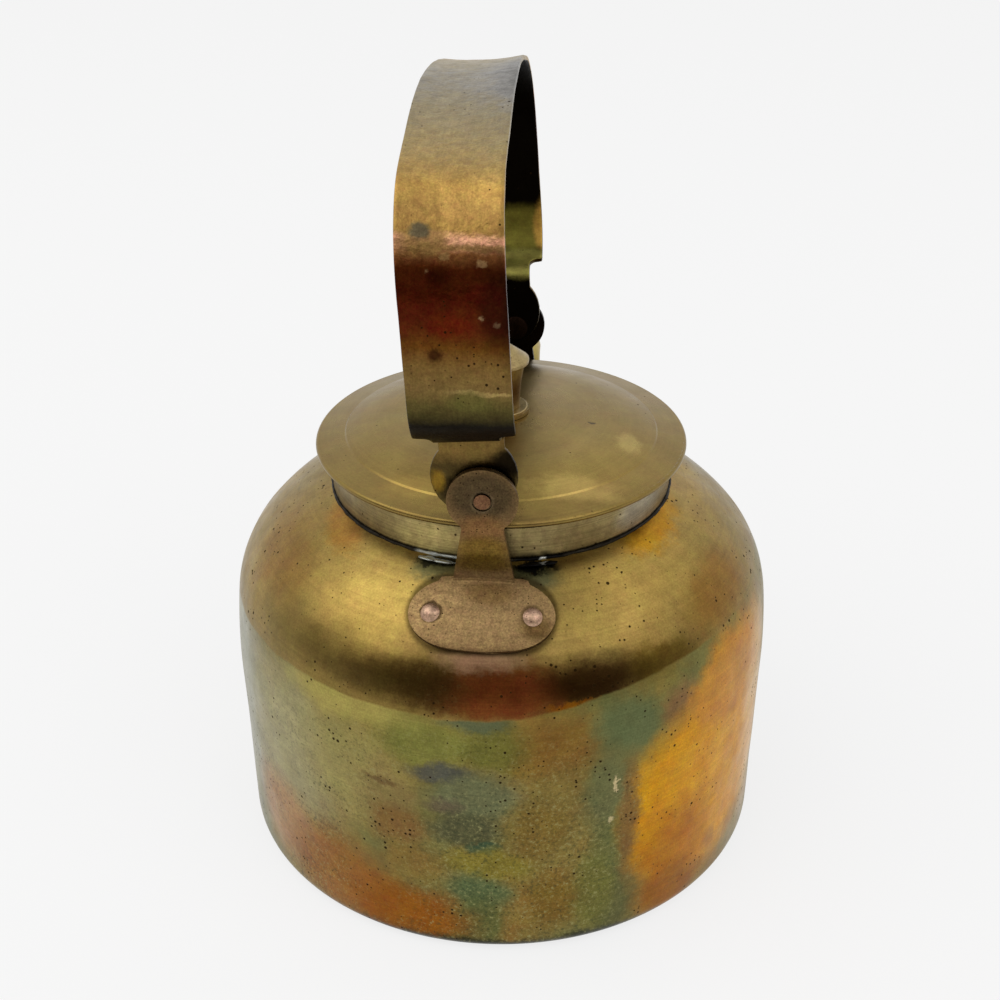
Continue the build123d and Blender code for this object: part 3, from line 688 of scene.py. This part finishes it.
def wall_crackle(tree, here, place, below):
    """Lace of pale and dark specks, about a millimetre across, where the tarnish is thick."""
    net = add_node(
        tree, "ShaderNodeTexNoise",
        {"Vector": here, "Scale": 1 / (1.3 * MM), "Detail": 4.0, "Roughness": 0.75},
    ).outputs["Fac"]
    zone = add_node(
        tree, "ShaderNodeTexNoise", {"Vector": place, "Scale": 1 / (24 * MM), "Detail": 3.0}
    )
    zone = add_node(
        tree, "ShaderNodeMapRange",
        {
            "Value": zone.outputs["Fac"], "From Min": 0.40, "From Max": 0.60, "To Min": 0.1,
            "To Max": 1.0,
        },
    ).outputs[0]
    level = add_node(tree, "ShaderNodeSeparateXYZ", {0: here}).outputs["Z"]
    under = add_node(
        tree, "ShaderNodeMapRange",
        {"Value": level, "From Min": 60 * MM, "From Max": 92 * MM, "To Min": 1.0, "To Max": 0.15},
    ).outputs[0]
    share = add_node(tree, "ShaderNodeMath", {0: zone, 1: under}, operation="MULTIPLY").outputs[0]
    middle = add_node(
        tree, "ShaderNodeVectorMath", {0: place, 1: (25, 25, 22), 2: (-0.35, 2.2, -0.7)},
        operation="MULTIPLY_ADD",
    ).outputs[0]
    middle = add_node(
        tree, "ShaderNodeVectorMath", {0: middle}, operation="LENGTH"
    ).outputs["Value"]
    middle = add_node(
        tree, "ShaderNodeMapRange",
        {"Value": middle, "From Min": 0.6, "From Max": 1.2, "To Min": 1.0, "To Max": 0.0},
    ).outputs[0]
    right = add_node(tree, "ShaderNodeSeparateXYZ", {0: place}).outputs["X"]
    clear = add_node(
        tree, "ShaderNodeMapRange",
        {"Value": right, "From Min": 44 * MM, "From Max": 52 * MM, "To Min": 1.0, "To Max": 0.1},
    ).outputs[0]
    share = add_node(tree, "ShaderNodeMath", {0: share, 1: middle}, operation="MAXIMUM").outputs[0]
    share = add_node(tree, "ShaderNodeMath", {0: share, 1: clear}, operation="MULTIPLY").outputs[0]
    for low, high, code in ((0.54, 0.66, "#a09c68"), (0.47, 0.36, "#2f3a28")):
        spots = add_node(
            tree, "ShaderNodeMapRange",
            {"Value": net, "From Min": low, "From Max": high, "To Min": 0.0, "To Max": 0.55},
        )
        cover = add_node(
            tree, "ShaderNodeMath", {0: spots.outputs[0], 1: share}, operation="MULTIPLY"
        )
        below = add_node(
            tree, "ShaderNodeMix", {0: cover.outputs[0], 6: below, 7: srgb(code)}, data_type="RGBA"
        ).outputs[2]
    return below


# Outside, raised brass sheet tinted by heat, with painted highlights, reflections and shade among
# its stains; inside, the same sheet under grey scale from water
body.data.materials[0] = old_metal(
    "heat_tinted_brass_sheet", body_tarnish_and_painted_light, warp=5.0, mottle_depth=0.16, grain=0.14, speck=1.4,
    speck_share=0.42, crackle=wall_crackle, rough=(0.28, 0.44), dent=0.22,
)
body.data.materials[1] = old_metal(
    "limed_brass_inside", "#6a5a40", [((0, 0, 4), (92, 92, 30), "#8d8672", 0.8)], rough=(0.5, 0.7),
)

# Bottom disc: brass sheet laid on the lip and soldered, black inside and out from the fire
sooty = [((0, 0, 0), (84, 84, 6), "#2c241a", 0.6)]
dress(old_metal("sooty_brass_disc", "#5a4a2c", sooty, rough=(0.5, 0.7)), "base_plate")

# Collar: a strip of brass soldered round the neck, scratched bright by the lid's edge
collar_stains_and_shadow = [
    # Painted shadow of the lid's rim along the top of the collar
    ((0, 0, 140.4), (90, 90, 2.6), "#1f180b", 0.9),
    ((0, 0, 137.2), (90, 90, 0.8), "#b3a57e", 0.5, 0.4),
    ((0, 0, 136.2), (90, 90, 0.5), "#33260f", 0.7, 0.4),
    ((-18, -52, 130), (13, 10, 6), "#a8965f", 0.85),
    ((-36, -42, 131), (10, 12, 7), "#7a6940", 0.7),
    ((28, -48, 130), (11, 10, 6), "#71603c", 0.8),
    ((46, -32, 131), (9, 14, 7), "#8f8672", 0.85),
    ((0, 0, 125.4), (90, 90, 1.3), "#1a140b", 0.95, 0.6),
]
collar_metal = old_metal(
    "scratched_brass_strip", "#86764e", collar_stains_and_shadow, warp=0.5, mottle=3.0, mottle_depth=0.25,
    speck=1.8, speck_share=0.34, brush=(18, 18, 2600), brush_depth=0.3, rough=(0.24, 0.42),
)
dress(collar_metal, "collar")

# Solder of the collar: a lumpy grey bead run round its foot, with lumps left beside the near ear
SEAM_RADIUS = 0.62 * MM
LUMP_SPREAD = 3.5 * MM
RUN_RING = 57.0
RUN_FACING = 58.0
RUN_TILT = math.radians(-22)
bpy.ops.object.select_all(action="DESELECT")
bpy.ops.mesh.primitive_torus_add(
    major_segments=220, minor_segments=10, major_radius=COLLAR_RADIUS + 0.1 * MM,
    minor_radius=SEAM_RADIUS, location=(0, 0, COLLAR_FOOT),
)
seam = bpy.context.object
seam.name = "collar_solder"
bpy.ops.object.transform_apply(location=True)
lumps = bpy.data.textures.new("solder_lumps", "CLOUDS")
lumps.noise_scale = LUMP_SPREAD
apply_modifier(seam, "DISPLACE", texture=lumps, strength=0.7 * MM, mid_level=0.5)
blobs = []
# Each run of solder, by its middle to the side of the ear and half its length, in millimetres
for across, wide in ((-13.4, 4.8), (-17.5, 3.2), (13.6, 4.4), (18.4, 3.0)):
    bpy.ops.object.select_all(action="DESELECT")
    bpy.ops.mesh.primitive_ico_sphere_add(subdivisions=4, radius=1, location=(0, 0, 0))
    blob = bpy.context.object
    blob.name = f"solder_run_{len(blobs)}"
    blob.scale = (wide * MM, 2.1 * MM, 0.55 * MM)
    blob.rotation_euler = (RUN_TILT, 0, math.asin(across / RUN_FACING))
    blob.location = (across * MM, -math.sqrt(RUN_RING**2 - across**2) * MM, 124.4 * MM)
    bpy.ops.object.transform_apply(location=True, rotation=True, scale=True)
    apply_modifier(blob, "DISPLACE", texture=lumps, strength=0.9 * MM, mid_level=0.5)
    blobs.append(blob)
solder_stains = [
    ((-15, -54, 124.5), (8, 7, 4), "#b9bdb8", 0.9, 0.5),
    ((16, -53, 124.5), (8, 7, 4), "#141416", 0.95, 0.5),
    ((17, -54, 125), (1.2, 2, 2), "#c9ccc8", 0.9, 0.5),
]
solder = old_metal(
    "sooty_lead_solder", "#2a2620", solder_stains, warp=1.6, mottle=2.0, mottle_depth=0.4,
    speck=1.2, speck_share=0.5, rough=(0.4, 0.62),
)
for piece in [seam] + blobs:
    piece.data.materials.append(solder)
    finish_piece(piece, "kettle", "patinated_brass")

# Spout: a swan neck of brass sheet, soldered over its hole in the wall
# The pale tip of the spout is a painted reflection of the white backdrop
spout_tip_reflection = [((0, 128, 116), (20, 12, 12), "#b9a568", 0.9)]
dress(old_metal("heat_tinted_brass_tube", olive_tarnish, spout_tip_reflection), "spout")

# Ears: bent brass plate with its edges filed round, browned by heat, the round end rubbed grey.
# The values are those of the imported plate, which is filed to a shape nearer to an oval here.
PLATE_HALF = 21.6 * MM
PLATE_TALL = 11.5 * MM
PLATE_MIDDLE = (70.85 * MM, 116.7 * MM)
PLATE_SLOPE = math.radians(36.7)
PLATE_BOW = 118.6 * MM
NECK_HALF = 9.2 * MM
OVAL_SHARE = 0.6
EAR_EDGE = 0.35 * MM
ear_stains_and_painted_light = [
    ((0, -66, 153), (11, 6, 9), "#4a3d29", 0.9, 0.6),
    ((0, -66, 142), (8, 6, 5), "#805d38", 0.85, 0.8),
    ((0, -66.8, 151.2), (3.9, 2, 3.9), "#6b5a42", 0.6, 0.25),
    ((0, -66.8, 151.6), (3.1, 2, 3.1), "#231a10", 0.85, 0.3),
    ((0, -65, 135), (9, 6, 5), "#7c6128", 0.85, 0.8),
    # The dark lower neck is painted shade, as the neck faces slightly down
    ((0, -63, 130), (12, 6, 4), "#4f3b10", 0.85, 0.8),
    # Painted highlight along the fold
    ((0, -61, 123.6), (12, 3, 1.2), "#8a6a3e", 0.8, 0.6),
    ((0, -71, 116), (30, 14, 9), "#957a52", 0.9),
    ((2, -67, 121), (8, 6, 2.4), "#71552f", 0.6, 0.8),
    ((16, -73, 113.5), (6, 5, 3.6), "#5b4425", 0.85, 0.8),
    ((-14.8, -71.9, 117.1), (3.8, 3.8, 3.8), "#3c2c1a", 0.85, 0.2),
    ((14.8, -71.9, 117.1), (3.7, 3.7, 3.7), "#3c2c1a", 0.6, 0.25),
    # Painted shadow: the far ear's inner side is painted near black
    ((0, 64.6, 150), (18, 3.4, 26), "#0b0704", 0.98, 0.3),
]
ear_metal = old_metal(
    "browned_brass_plate", "#7c6240", ear_stains_and_painted_light, warp=0.7, mottle=2.4, mottle_depth=0.22,
    grain=0.24, speck=0.75, speck_share=0.32, rough=(0.38, 0.58),
)
for name in ("ear_front", "ear_back"):
    ear = bpy.data.objects.new("filed_" + name, nodes[name].data.copy())
    bpy.context.collection.objects.link(ear)
    bpy.ops.object.select_all(action="DESELECT")
    ear.select_set(True)
    bpy.context.view_layer.objects.active = ear
    bpy.ops.object.mode_set(mode="EDIT")
    bpy.ops.mesh.select_all(action="SELECT")
    bpy.ops.mesh.remove_doubles(threshold=0.001 * MM)
    bpy.ops.mesh.dissolve_limited(angle_limit=math.radians(1.0))
    bpy.ops.object.mode_set(mode="OBJECT")
    # down runs along the plate from its middle and above stands off its face. The fold and the
    # neck over it keep their shape.
    for vertex in ear.data.vertices:
        across = min(abs(vertex.co.x), PLATE_HALF)
        facing = 1 if vertex.co.y > 0 else -1
        reach = vertex.co.y * facing - PLATE_MIDDLE[0]
        rise = vertex.co.z - PLATE_MIDDLE[1]
        down = reach * math.cos(PLATE_SLOPE) - rise * math.sin(PLATE_SLOPE)
        above = reach * math.sin(PLATE_SLOPE) + rise * math.cos(PLATE_SLOPE)
        above += across**2 / (2 * PLATE_BOW) + down**2 / (2 * SHOULDER_RADIUS)
        if down < 1 * MM - PLATE_TALL or above > 3 * MM:
            continue
        slot_tall = math.sqrt(PLATE_TALL**2 - max(0.0, across - PLATE_HALF + PLATE_TALL) ** 2)
        oval_tall = PLATE_TALL * math.sqrt(1 - (across / PLATE_HALF) ** 2)
        share = OVAL_SHARE * (1 - oval_tall / slot_tall) if slot_tall > 0.1 * MM else 0.0
        if down < 0:
            share *= min(1.0, max(0.0, (across - NECK_HALF) / (4 * MM)))
        moved = -down * share
        sink = (down**2 - (down + moved) ** 2) / (2 * SHOULDER_RADIUS)
        reach += moved * math.cos(PLATE_SLOPE) + sink * math.sin(PLATE_SLOPE)
        rise += sink * math.cos(PLATE_SLOPE) - moved * math.sin(PLATE_SLOPE)
        vertex.co.y = facing * (PLATE_MIDDLE[0] + reach)
        vertex.co.z = PLATE_MIDDLE[1] + rise
    apply_modifier(
        ear, "BEVEL", width=EAR_EDGE, segments=3, limit_method="ANGLE", angle_limit=math.radians(50)
    )
    ear.data.materials.clear()
    ear.data.materials.append(ear_metal)
    finish_piece(ear, "kettle", "ear_brass", name)
dress(ear_metal, "pivot_washer_front", "pivot_washer_back")

# Rivets: copper, headed over by hand and rubbed bright and dull in patches
rivet_copper = old_metal(
    "worn_copper", "#c3a188", warp=1.0, mottle=1.6, mottle_depth=0.3, grain=0.25, speck=0.7,
    speck_share=0.3, rough=(0.38, 0.58), dent=0.25, dent_size=1.8,
)
dress(rivet_copper, "ear_front_rivets", "ear_back_rivets")

# Pins of the handle: copper wire, burnt black inside and spread over bright in the ear's recess
pin_stains = [
    ((0, -66.8, 151.2), (4, 1.6, 4), "#7d5a40", 0.9, 0.4),
    ((0, 66.8, 151.2), (4, 1.6, 4), "#7d5a40", 0.9, 0.4),
]
pin_copper = old_metal(
    "burnt_copper", "#1a100a", pin_stains, warp=0.6, mottle=1.2, mottle_depth=0.3, grain=0.2,
    speck=0.9, rough=(0.4, 0.6), dent=0.12, dent_size=1.4,
)
dress(pin_copper, "pivot_pin_front", "pivot_pin_back")

# Handle: one brass strap, bent over a stake, dished along the grip and hammered on the bends.
# Each end is curled in, notched and cut to a round tab; it is burnt dark where it meets the fire,
# and painted black with shade where the curl faces down.
PIN_HEIGHT = 151.2 * MM
BAIL_LEAN = math.radians(4.0)
STRAP_SHIFT = 2.1 * MM
STRAP_HALF = 14.1 * MM
STRAP_THICK = 1.6 * MM
TAB_FACE = 63.6 * MM
TAB_RADIUS = 12.6 * MM
TAB_RISE = 6.8 * MM
TAB_NECK = 9.4 * MM
CURL_MIDDLE = (64.95 * MM, 38.18 * MM)
CURL_RADIUS = 17.65 * MM
TURN_BACK = (66.8 * MM, 17.34 * MM)
TURN_BACK_RADIUS = 3.2 * MM
NEAR_NOTCH = -43.0
FAR_NOTCH = -72.0
NOTCH_FILLET = 3.0 * MM
NOTCH_CORNER = 0.8 * MM
BEND_MIDDLE = (49.6 * MM, 64.78 * MM)
BEND_RADIUS = 33.0 * MM
CROWN_RADIUS = 225.0 * MM
CROWN_TURN = 14.97
CROWN_TOP = 104.3 * MM
STRAP_CELLS = 24
DISH_DEPTH = 1.0 * MM
GRIP_START = 66 * MM
GRIP_FADE = 22 * MM
BLOW_START = 30 * MM
BLOW_FADE = 12 * MM
BLOW_SPREAD = 7 * MM
BLOW_DEPTH = 0.35 * MM
STRAP_EDGE = 0.35 * MM
NEAR_DRIFT = 1.0 * MM
FAR_TRIM = 0.106


def around(middle, radius, degrees):
    """Point on a bend, from the axis out and up from level."""
    angle = math.radians(degrees)
    return (middle[0] + radius * math.cos(angle), middle[1] + radius * math.sin(angle))


def half_width(degrees, notch_start):
    """Half of the strap's width where the curl comes to the notches, round their corners."""
    above = CURL_RADIUS * math.radians(degrees - notch_start)
    if above <= -NOTCH_FILLET:
        return TAB_NECK
    if above <= 0:
        return TAB_NECK + NOTCH_FILLET - math.sqrt(NOTCH_FILLET**2 - (above + NOTCH_FILLET) ** 2)
    if above < NOTCH_CORNER:
        return STRAP_HALF - NOTCH_CORNER + math.sqrt(NOTCH_CORNER**2 - (NOTCH_CORNER - above) ** 2)
    return STRAP_HALF


# Rows of the strap from the foot of the tab to the middle of the grip, each how far out, how
# high and half as wide as the strap; they lie close together where a notch begins
rows = []
for degrees in (4, 9, 15, 24, 34, 46, 58, 70, 82, 94, 106, 118, 126, 131.75):
    angle = math.radians(degrees)
    rows.append((TAB_FACE, TAB_RISE - TAB_RADIUS * math.cos(angle), TAB_RADIUS * math.sin(angle)))
for degrees in (180, 164, 148, 132, 116, 100):
    rows.append(around(TURN_BACK, TURN_BACK_RADIUS, degrees) + (TAB_NECK,))
for degrees in (
    -80, -78, -76, -74.5, -73.2, -72.4, -72.02, -71.7, -70.8, -69.4, -66, -62, -57, -53, -50, -48,
    -46, -44.6, -43.6, -43.02, -42.7, -41.8, -40.4, -38, -34, -29, -24, -18, -12, -6, 0,
):
    rows.append(around(CURL_MIDDLE, CURL_RADIUS, degrees) + (half_width(degrees, NEAR_NOTCH),))
for step in range(1, 10):
    rise = (BEND_MIDDLE[1] - CURL_MIDDLE[1]) * step / 9
    rows.append((BEND_MIDDLE[0] + BEND_RADIUS, CURL_MIDDLE[1] + rise, STRAP_HALF))
for step in range(1, 25):
    rows.append(around(BEND_MIDDLE, BEND_RADIUS, (90 - CROWN_TURN) * step / 24) + (STRAP_HALF,))
for step in range(1, 21):
    degrees = 90 - CROWN_TURN * (1 - step / 20)
    rows.append(around((0, CROWN_TOP - CROWN_RADIUS), CROWN_RADIUS, degrees) + (STRAP_HALF,))

bpy.ops.object.select_all(action="DESELECT")
bpy.ops.mesh.primitive_grid_add(
    x_subdivisions=STRAP_CELLS, y_subdivisions=1, size=2, location=(0, 0, 0)
)
strap = bpy.context.object
strap.name = "hammered_strap"
bpy.ops.object.mode_set(mode="EDIT")
bpy.ops.mesh.select_all(action="DESELECT")
bpy.ops.object.mode_set(mode="OBJECT")
for vertex in strap.data.vertices:
    vertex.select = vertex.co.y > 0
bpy.ops.object.mode_set(mode="EDIT")
bpy.ops.mesh.delete(type="VERT")
bpy.ops.mesh.select_all(action="SELECT")
depth, height, half = rows[0]
bpy.ops.transform.resize(value=(half, 1, 1), center_override=(0, 0, 0))
bpy.ops.transform.translate(value=(0, 1 - depth, height))
for next_depth, next_height, next_half in rows[1:]:
    step = (0, depth - next_depth, next_height - height)
    bpy.ops.mesh.extrude_edges_move(TRANSFORM_OT_translate={"value": step})
    bpy.ops.transform.resize(value=(next_half / half, 1, 1), center_override=(0, 0, 0))
    depth, height, half = next_depth, next_height, next_half
bpy.ops.object.mode_set(mode="OBJECT")
apply_modifier(strap, "MIRROR", use_axis=(False, True, False), merge_threshold=0.01 * MM)
bpy.ops.object.mode_set(mode="EDIT")
bpy.ops.mesh.select_all(action="SELECT")
bpy.ops.mesh.normals_make_consistent(inside=False)
bpy.ops.object.mode_set(mode="OBJECT")

# An open sheet has no inside, so the side that looks up from the grip is made the outside
top = max(strap.data.polygons, key=lambda face: face.center.z)
if top.normal.z < 0:
    bpy.ops.object.mode_set(mode="EDIT")
    bpy.ops.mesh.flip_normals()
    bpy.ops.object.mode_set(mode="OBJECT")

# Hand work: the far notches were cut further down the curl and that end narrower on one side,
# and the near leg is bent slightly out of line. side runs from -1 on the near leg to 1 on the
# far one, and above from 0 at the curl to 1 at the bend.
for vertex in strap.data.vertices:
    out, up = vertex.co.y, vertex.co.z
    if out > CURL_MIDDLE[0]:
        degrees = math.degrees(math.atan2(up - CURL_MIDDLE[1], out - CURL_MIDDLE[0]))
        vertex.co.x *= half_width(degrees, FAR_NOTCH) / half_width(degrees, NEAR_NOTCH)
    side = min(1.0, max(-1.0, out / (45 * MM)))
    above = min(1.0, max(0.0, (up - 15 * MM) / (50 * MM)))
    if vertex.co.x > 0:
        vertex.co.x *= 1 - FAR_TRIM * max(0.0, side)
    vertex.co.x += NEAR_DRIFT * above * max(0.0, -side)

# The grip is dished along its middle, and hammer marks cover all but the tabs
dish = strap.vertex_groups.new(name="dish")
bends = strap.vertex_groups.new(name="bends")
for vertex in strap.data.vertices:
    across = min(1.0, abs(vertex.co.x) / STRAP_HALF)
    grip = min(1.0, max(0.0, (vertex.co.z - GRIP_START) / GRIP_FADE))
    dish.add([vertex.index], grip * (1 - across**2), "REPLACE")
    above = min(1.0, max(0.0, (vertex.co.z - BLOW_START) / BLOW_FADE))
    bends.add([vertex.index], above, "REPLACE")
apply_modifier(strap, "DISPLACE", strength=-DISH_DEPTH, mid_level=0.0, vertex_group="dish")
blows = bpy.data.textures.new("hammer_blows", "CLOUDS")
blows.noise_scale = BLOW_SPREAD
blows.noise_depth = 1
apply_modifier(
    strap, "DISPLACE", texture=blows, strength=BLOW_DEPTH, mid_level=1.0, vertex_group="bends"
)
strap.data.materials.append(None)
strap.data.materials.append(None)
apply_modifier(strap, "SOLIDIFY", thickness=STRAP_THICK, offset=-1.0, material_offset=1)
apply_modifier(
    strap, "BEVEL", width=STRAP_EDGE, segments=2, limit_method="ANGLE",
    angle_limit=math.radians(50), use_clamp_overlap=False,
)

# The strap sits to one side of its pins and leans over that way
bpy.ops.object.mode_set(mode="EDIT")
bpy.ops.mesh.select_all(action="SELECT")
bpy.ops.transform.translate(value=(-STRAP_SHIFT, 0, 0))
bpy.ops.object.mode_set(mode="OBJECT")
strap.location = (0, 0, PIN_HEIGHT)
strap.rotation_euler = (0, -BAIL_LEAN, 0)
bpy.ops.object.select_all(action="DESELECT")
strap.select_set(True)
bpy.ops.object.transform_apply(location=True, rotation=True)
finish_piece(strap, "handle", "strap_brass", "bail_strap")

# Heights of the colour bands up the strap are in millimetres over the table
STRAP_FOOT = 145.0
STRAP_TALL = 112.0


def strap_bands_and_painted_light(tree, here, place):
    """Burnt foot, black painted shade on the curl, dark red legs that are partly heat tint and
    partly painted reflection, hammered gold with a painted pink highlight on the bend, and a grey
    painted reflection on the grip.
    """
    # Painted light among the bands: black at 175 to 182 mm is painted shade where the curl faces
    # down, the pink at 232.2 mm a painted highlight on the bend's crease, the grey at the top a
    # painted reflection on the grip, and the dark red from 205 to 226 mm partly a painted
    # reflection of the room
    bands = [
        (146, "#60522d"), (161, "#4a3c20"), (166, "#7a6233"), (170, "#6a552c"), (175, "#2a2010"),
        (182, "#15110a"), (188, "#564c28"), (193, "#7a6338"), (199, "#775c31"), (205, "#643f16"),
        (210, "#55230f"), (219, "#481809"), (226, "#5a2a12"), (229, "#8a5a34"), (232.2, "#e0a582"),
        (234, "#8f6f3a"), (239, "#967540"), (243, "#b38e4c"), (249, "#9e895b"), (253, "#8c7f60"),
        (254.8, "#807c76"), (256.2, "#4c4a46"),
    ]
    level = add_node(tree, "ShaderNodeSeparateXYZ", {0: place}).outputs["Z"]
    share = add_node(
        tree, "ShaderNodeMapRange",
        {"Value": level, "From Min": STRAP_FOOT * MM, "From Max": (STRAP_FOOT + STRAP_TALL) * MM},
    ).outputs[0]
    stops = [((height - STRAP_FOOT) / STRAP_TALL, code) for height, code in bands]
    return add_node(tree, "ShaderNodeValToRGB", {0: share}, stops=stops).outputs[0]


strap_stains = [
    ((-13.5, -79, 232), (8, 6, 4), "#86683a", 0.9, 0.7),
    ((0, -80, 230.6), (16, 6, 0.9), "#8f7040", 0.7, 0.8),
    ((-9, -82, 224.5), (4, 3, 3), "#3a1408", 0.8, 0.9),
    ((4, -82, 220), (5, 3, 3), "#5a1d10", 0.8, 0.9),
    ((-6, -82, 211), (6, 3, 4), "#5e200c", 0.8, 0.9),
    ((-10.5, -82, 203), (2.4, 3, 1.8), "#30180a", 0.85, 0.8),
    ((2, -82, 213.5), (0.8, 2, 0.9), "#9a7a58", 0.8, 0.6),
    ((5.5, -82, 212), (0.8, 2, 0.9), "#9a7a58", 0.8, 0.6),
    ((-12, -82, 225), (0.8, 2, 0.8), "#9a7a58", 0.7, 0.6),
    ((11, -82, 214), (4, 4, 16), "#1c0f08", 0.7, 0.9),
    ((2, -82, 192.4), (9, 4, 0.8), "#a89058", 0.7, 0.8),
    ((-14.4, -76.4, 234.6), (3.4, 3, 2.6), "#4d4a3a", 0.85, 0.6),
    ((1.6, -80.7, 227.2), (1.6, 2, 1.1), "#b08c62", 0.8, 0.5),
    ((-7.8, -80, 228.5), (1.6, 2, 1.0), "#a07c50", 0.8, 0.5),
    ((-1, -82, 190), (7, 4, 3), "#5d5a2c", 0.6),
    ((6, -82, 216), (5, 4, 12), "#170a06", 0.6),
    ((8, -64, 162.5), (7, 3, 5.5), "#0f0b07", 0.95, 0.8),
    ((-8, -64, 153), (6, 3, 4.5), "#241a0e", 0.8, 0.8),
    ((-13, -64, 156), (2.4, 3, 4), "#8a6a22", 0.7, 0.8),
]
strap_metal = old_metal(
    "hammered_brass_strap", strap_bands_and_painted_light, strap_stains, warp=1.6, mottle=3.0, mottle_depth=0.22,
    grain=0.16, speck=1.5, speck_share=0.3, brush=(1400, 120, 120), rough=(0.28, 0.46), dent=0.16,
    dent_size=1.7,
)

# The strap's inner face: the same brass, painted black as painted shade, except on the curl of the
# far end
inside_stains = [
    ((1, 79, 182), (16, 9, 9), "#78702f", 0.9, 0.6),
    ((9, 79, 184), (4, 8, 10), "#bf9648", 0.9, 0.6),
    ((2, 69, 173), (14, 9, 5), "#98904a", 0.95, 0.5),
]
strap_inside = old_metal(
    "shaded_black_brass", "#0d0905", inside_stains, warp=1.6, mottle=3.0, speck=2.0, rough=(0.4, 0.6)
)
strap.data.materials[0] = strap_metal
strap.data.materials[1] = strap_inside

# Lid: a domed brass disc with a stepped brim, its edge rolled over a wire
lid_stains_and_highlights = [
    ((34, -24, 146), (20, 18, 8), "#9a8248", 0.6),
    ((-34, -14, 144), (16, 30, 8), "#8f7a44", 0.5),
    # This and the next stain: painted highlights on the dome's slope near the ring, front right and
    # front left
    ((24, -41, 143), (17, 6, 3), "#c6aa62", 0.6, 0.9),
    ((-24, -44, 143), (12, 6, 3), "#a38848", 0.6, 0.9),
    ((0, -57.5, 139.5), (26, 3, 3), "#6e5a34", 0.5),
    ((29.2, -4.9, 147.3), (1.3, 0.6, 2), "#2c2313", 0.8, 0.5),
    # Painted highlight on the dome's slope at the right
    ((41, -14, 145), (4, 6, 3), "#c2ac66", 0.5),
]
lid_metal = old_metal(
    "turned_brass_lid", "#87713d", lid_stains_and_highlights, warp=3.0, mottle=9.0, mottle_depth=0.12, grain=0.07,
    speck=2.6, speck_share=0.17, brush=(30, 30, 30), turned=900, brush_depth=0.07,
    rough=(0.24, 0.36), dent=0.1, dent_size=12,
)
dress(lid_metal, "lid_plate", "lid_bezel", "knob_burr")

# Knob: turned from brass bar, with a pointed cap over a dark stem and a pale washer under it
knob_tints_and_painted_light = [
    ((0, 0, 157), (9, 9, 7.5), "#56330c", 0.94),
    # The pale washer: its own paler brass, painted lighter still as painted light against the shade
    # it sits in
    ((0, 0, 148.4), (9, 9, 1.2), "#c4ae74", 0.9, 0.5),
]
knob_metal = old_metal(
    "turned_brass_knob", "#a08c60", knob_tints_and_painted_light, warp=0.6, mottle=2.0, speck=1.2,
    brush=(40, 40, 2000), rough=(0.26, 0.45),
)
dress(knob_metal, "knob", "knob_washer")

bpy.context.scene.view_settings.view_transform = "Standard"
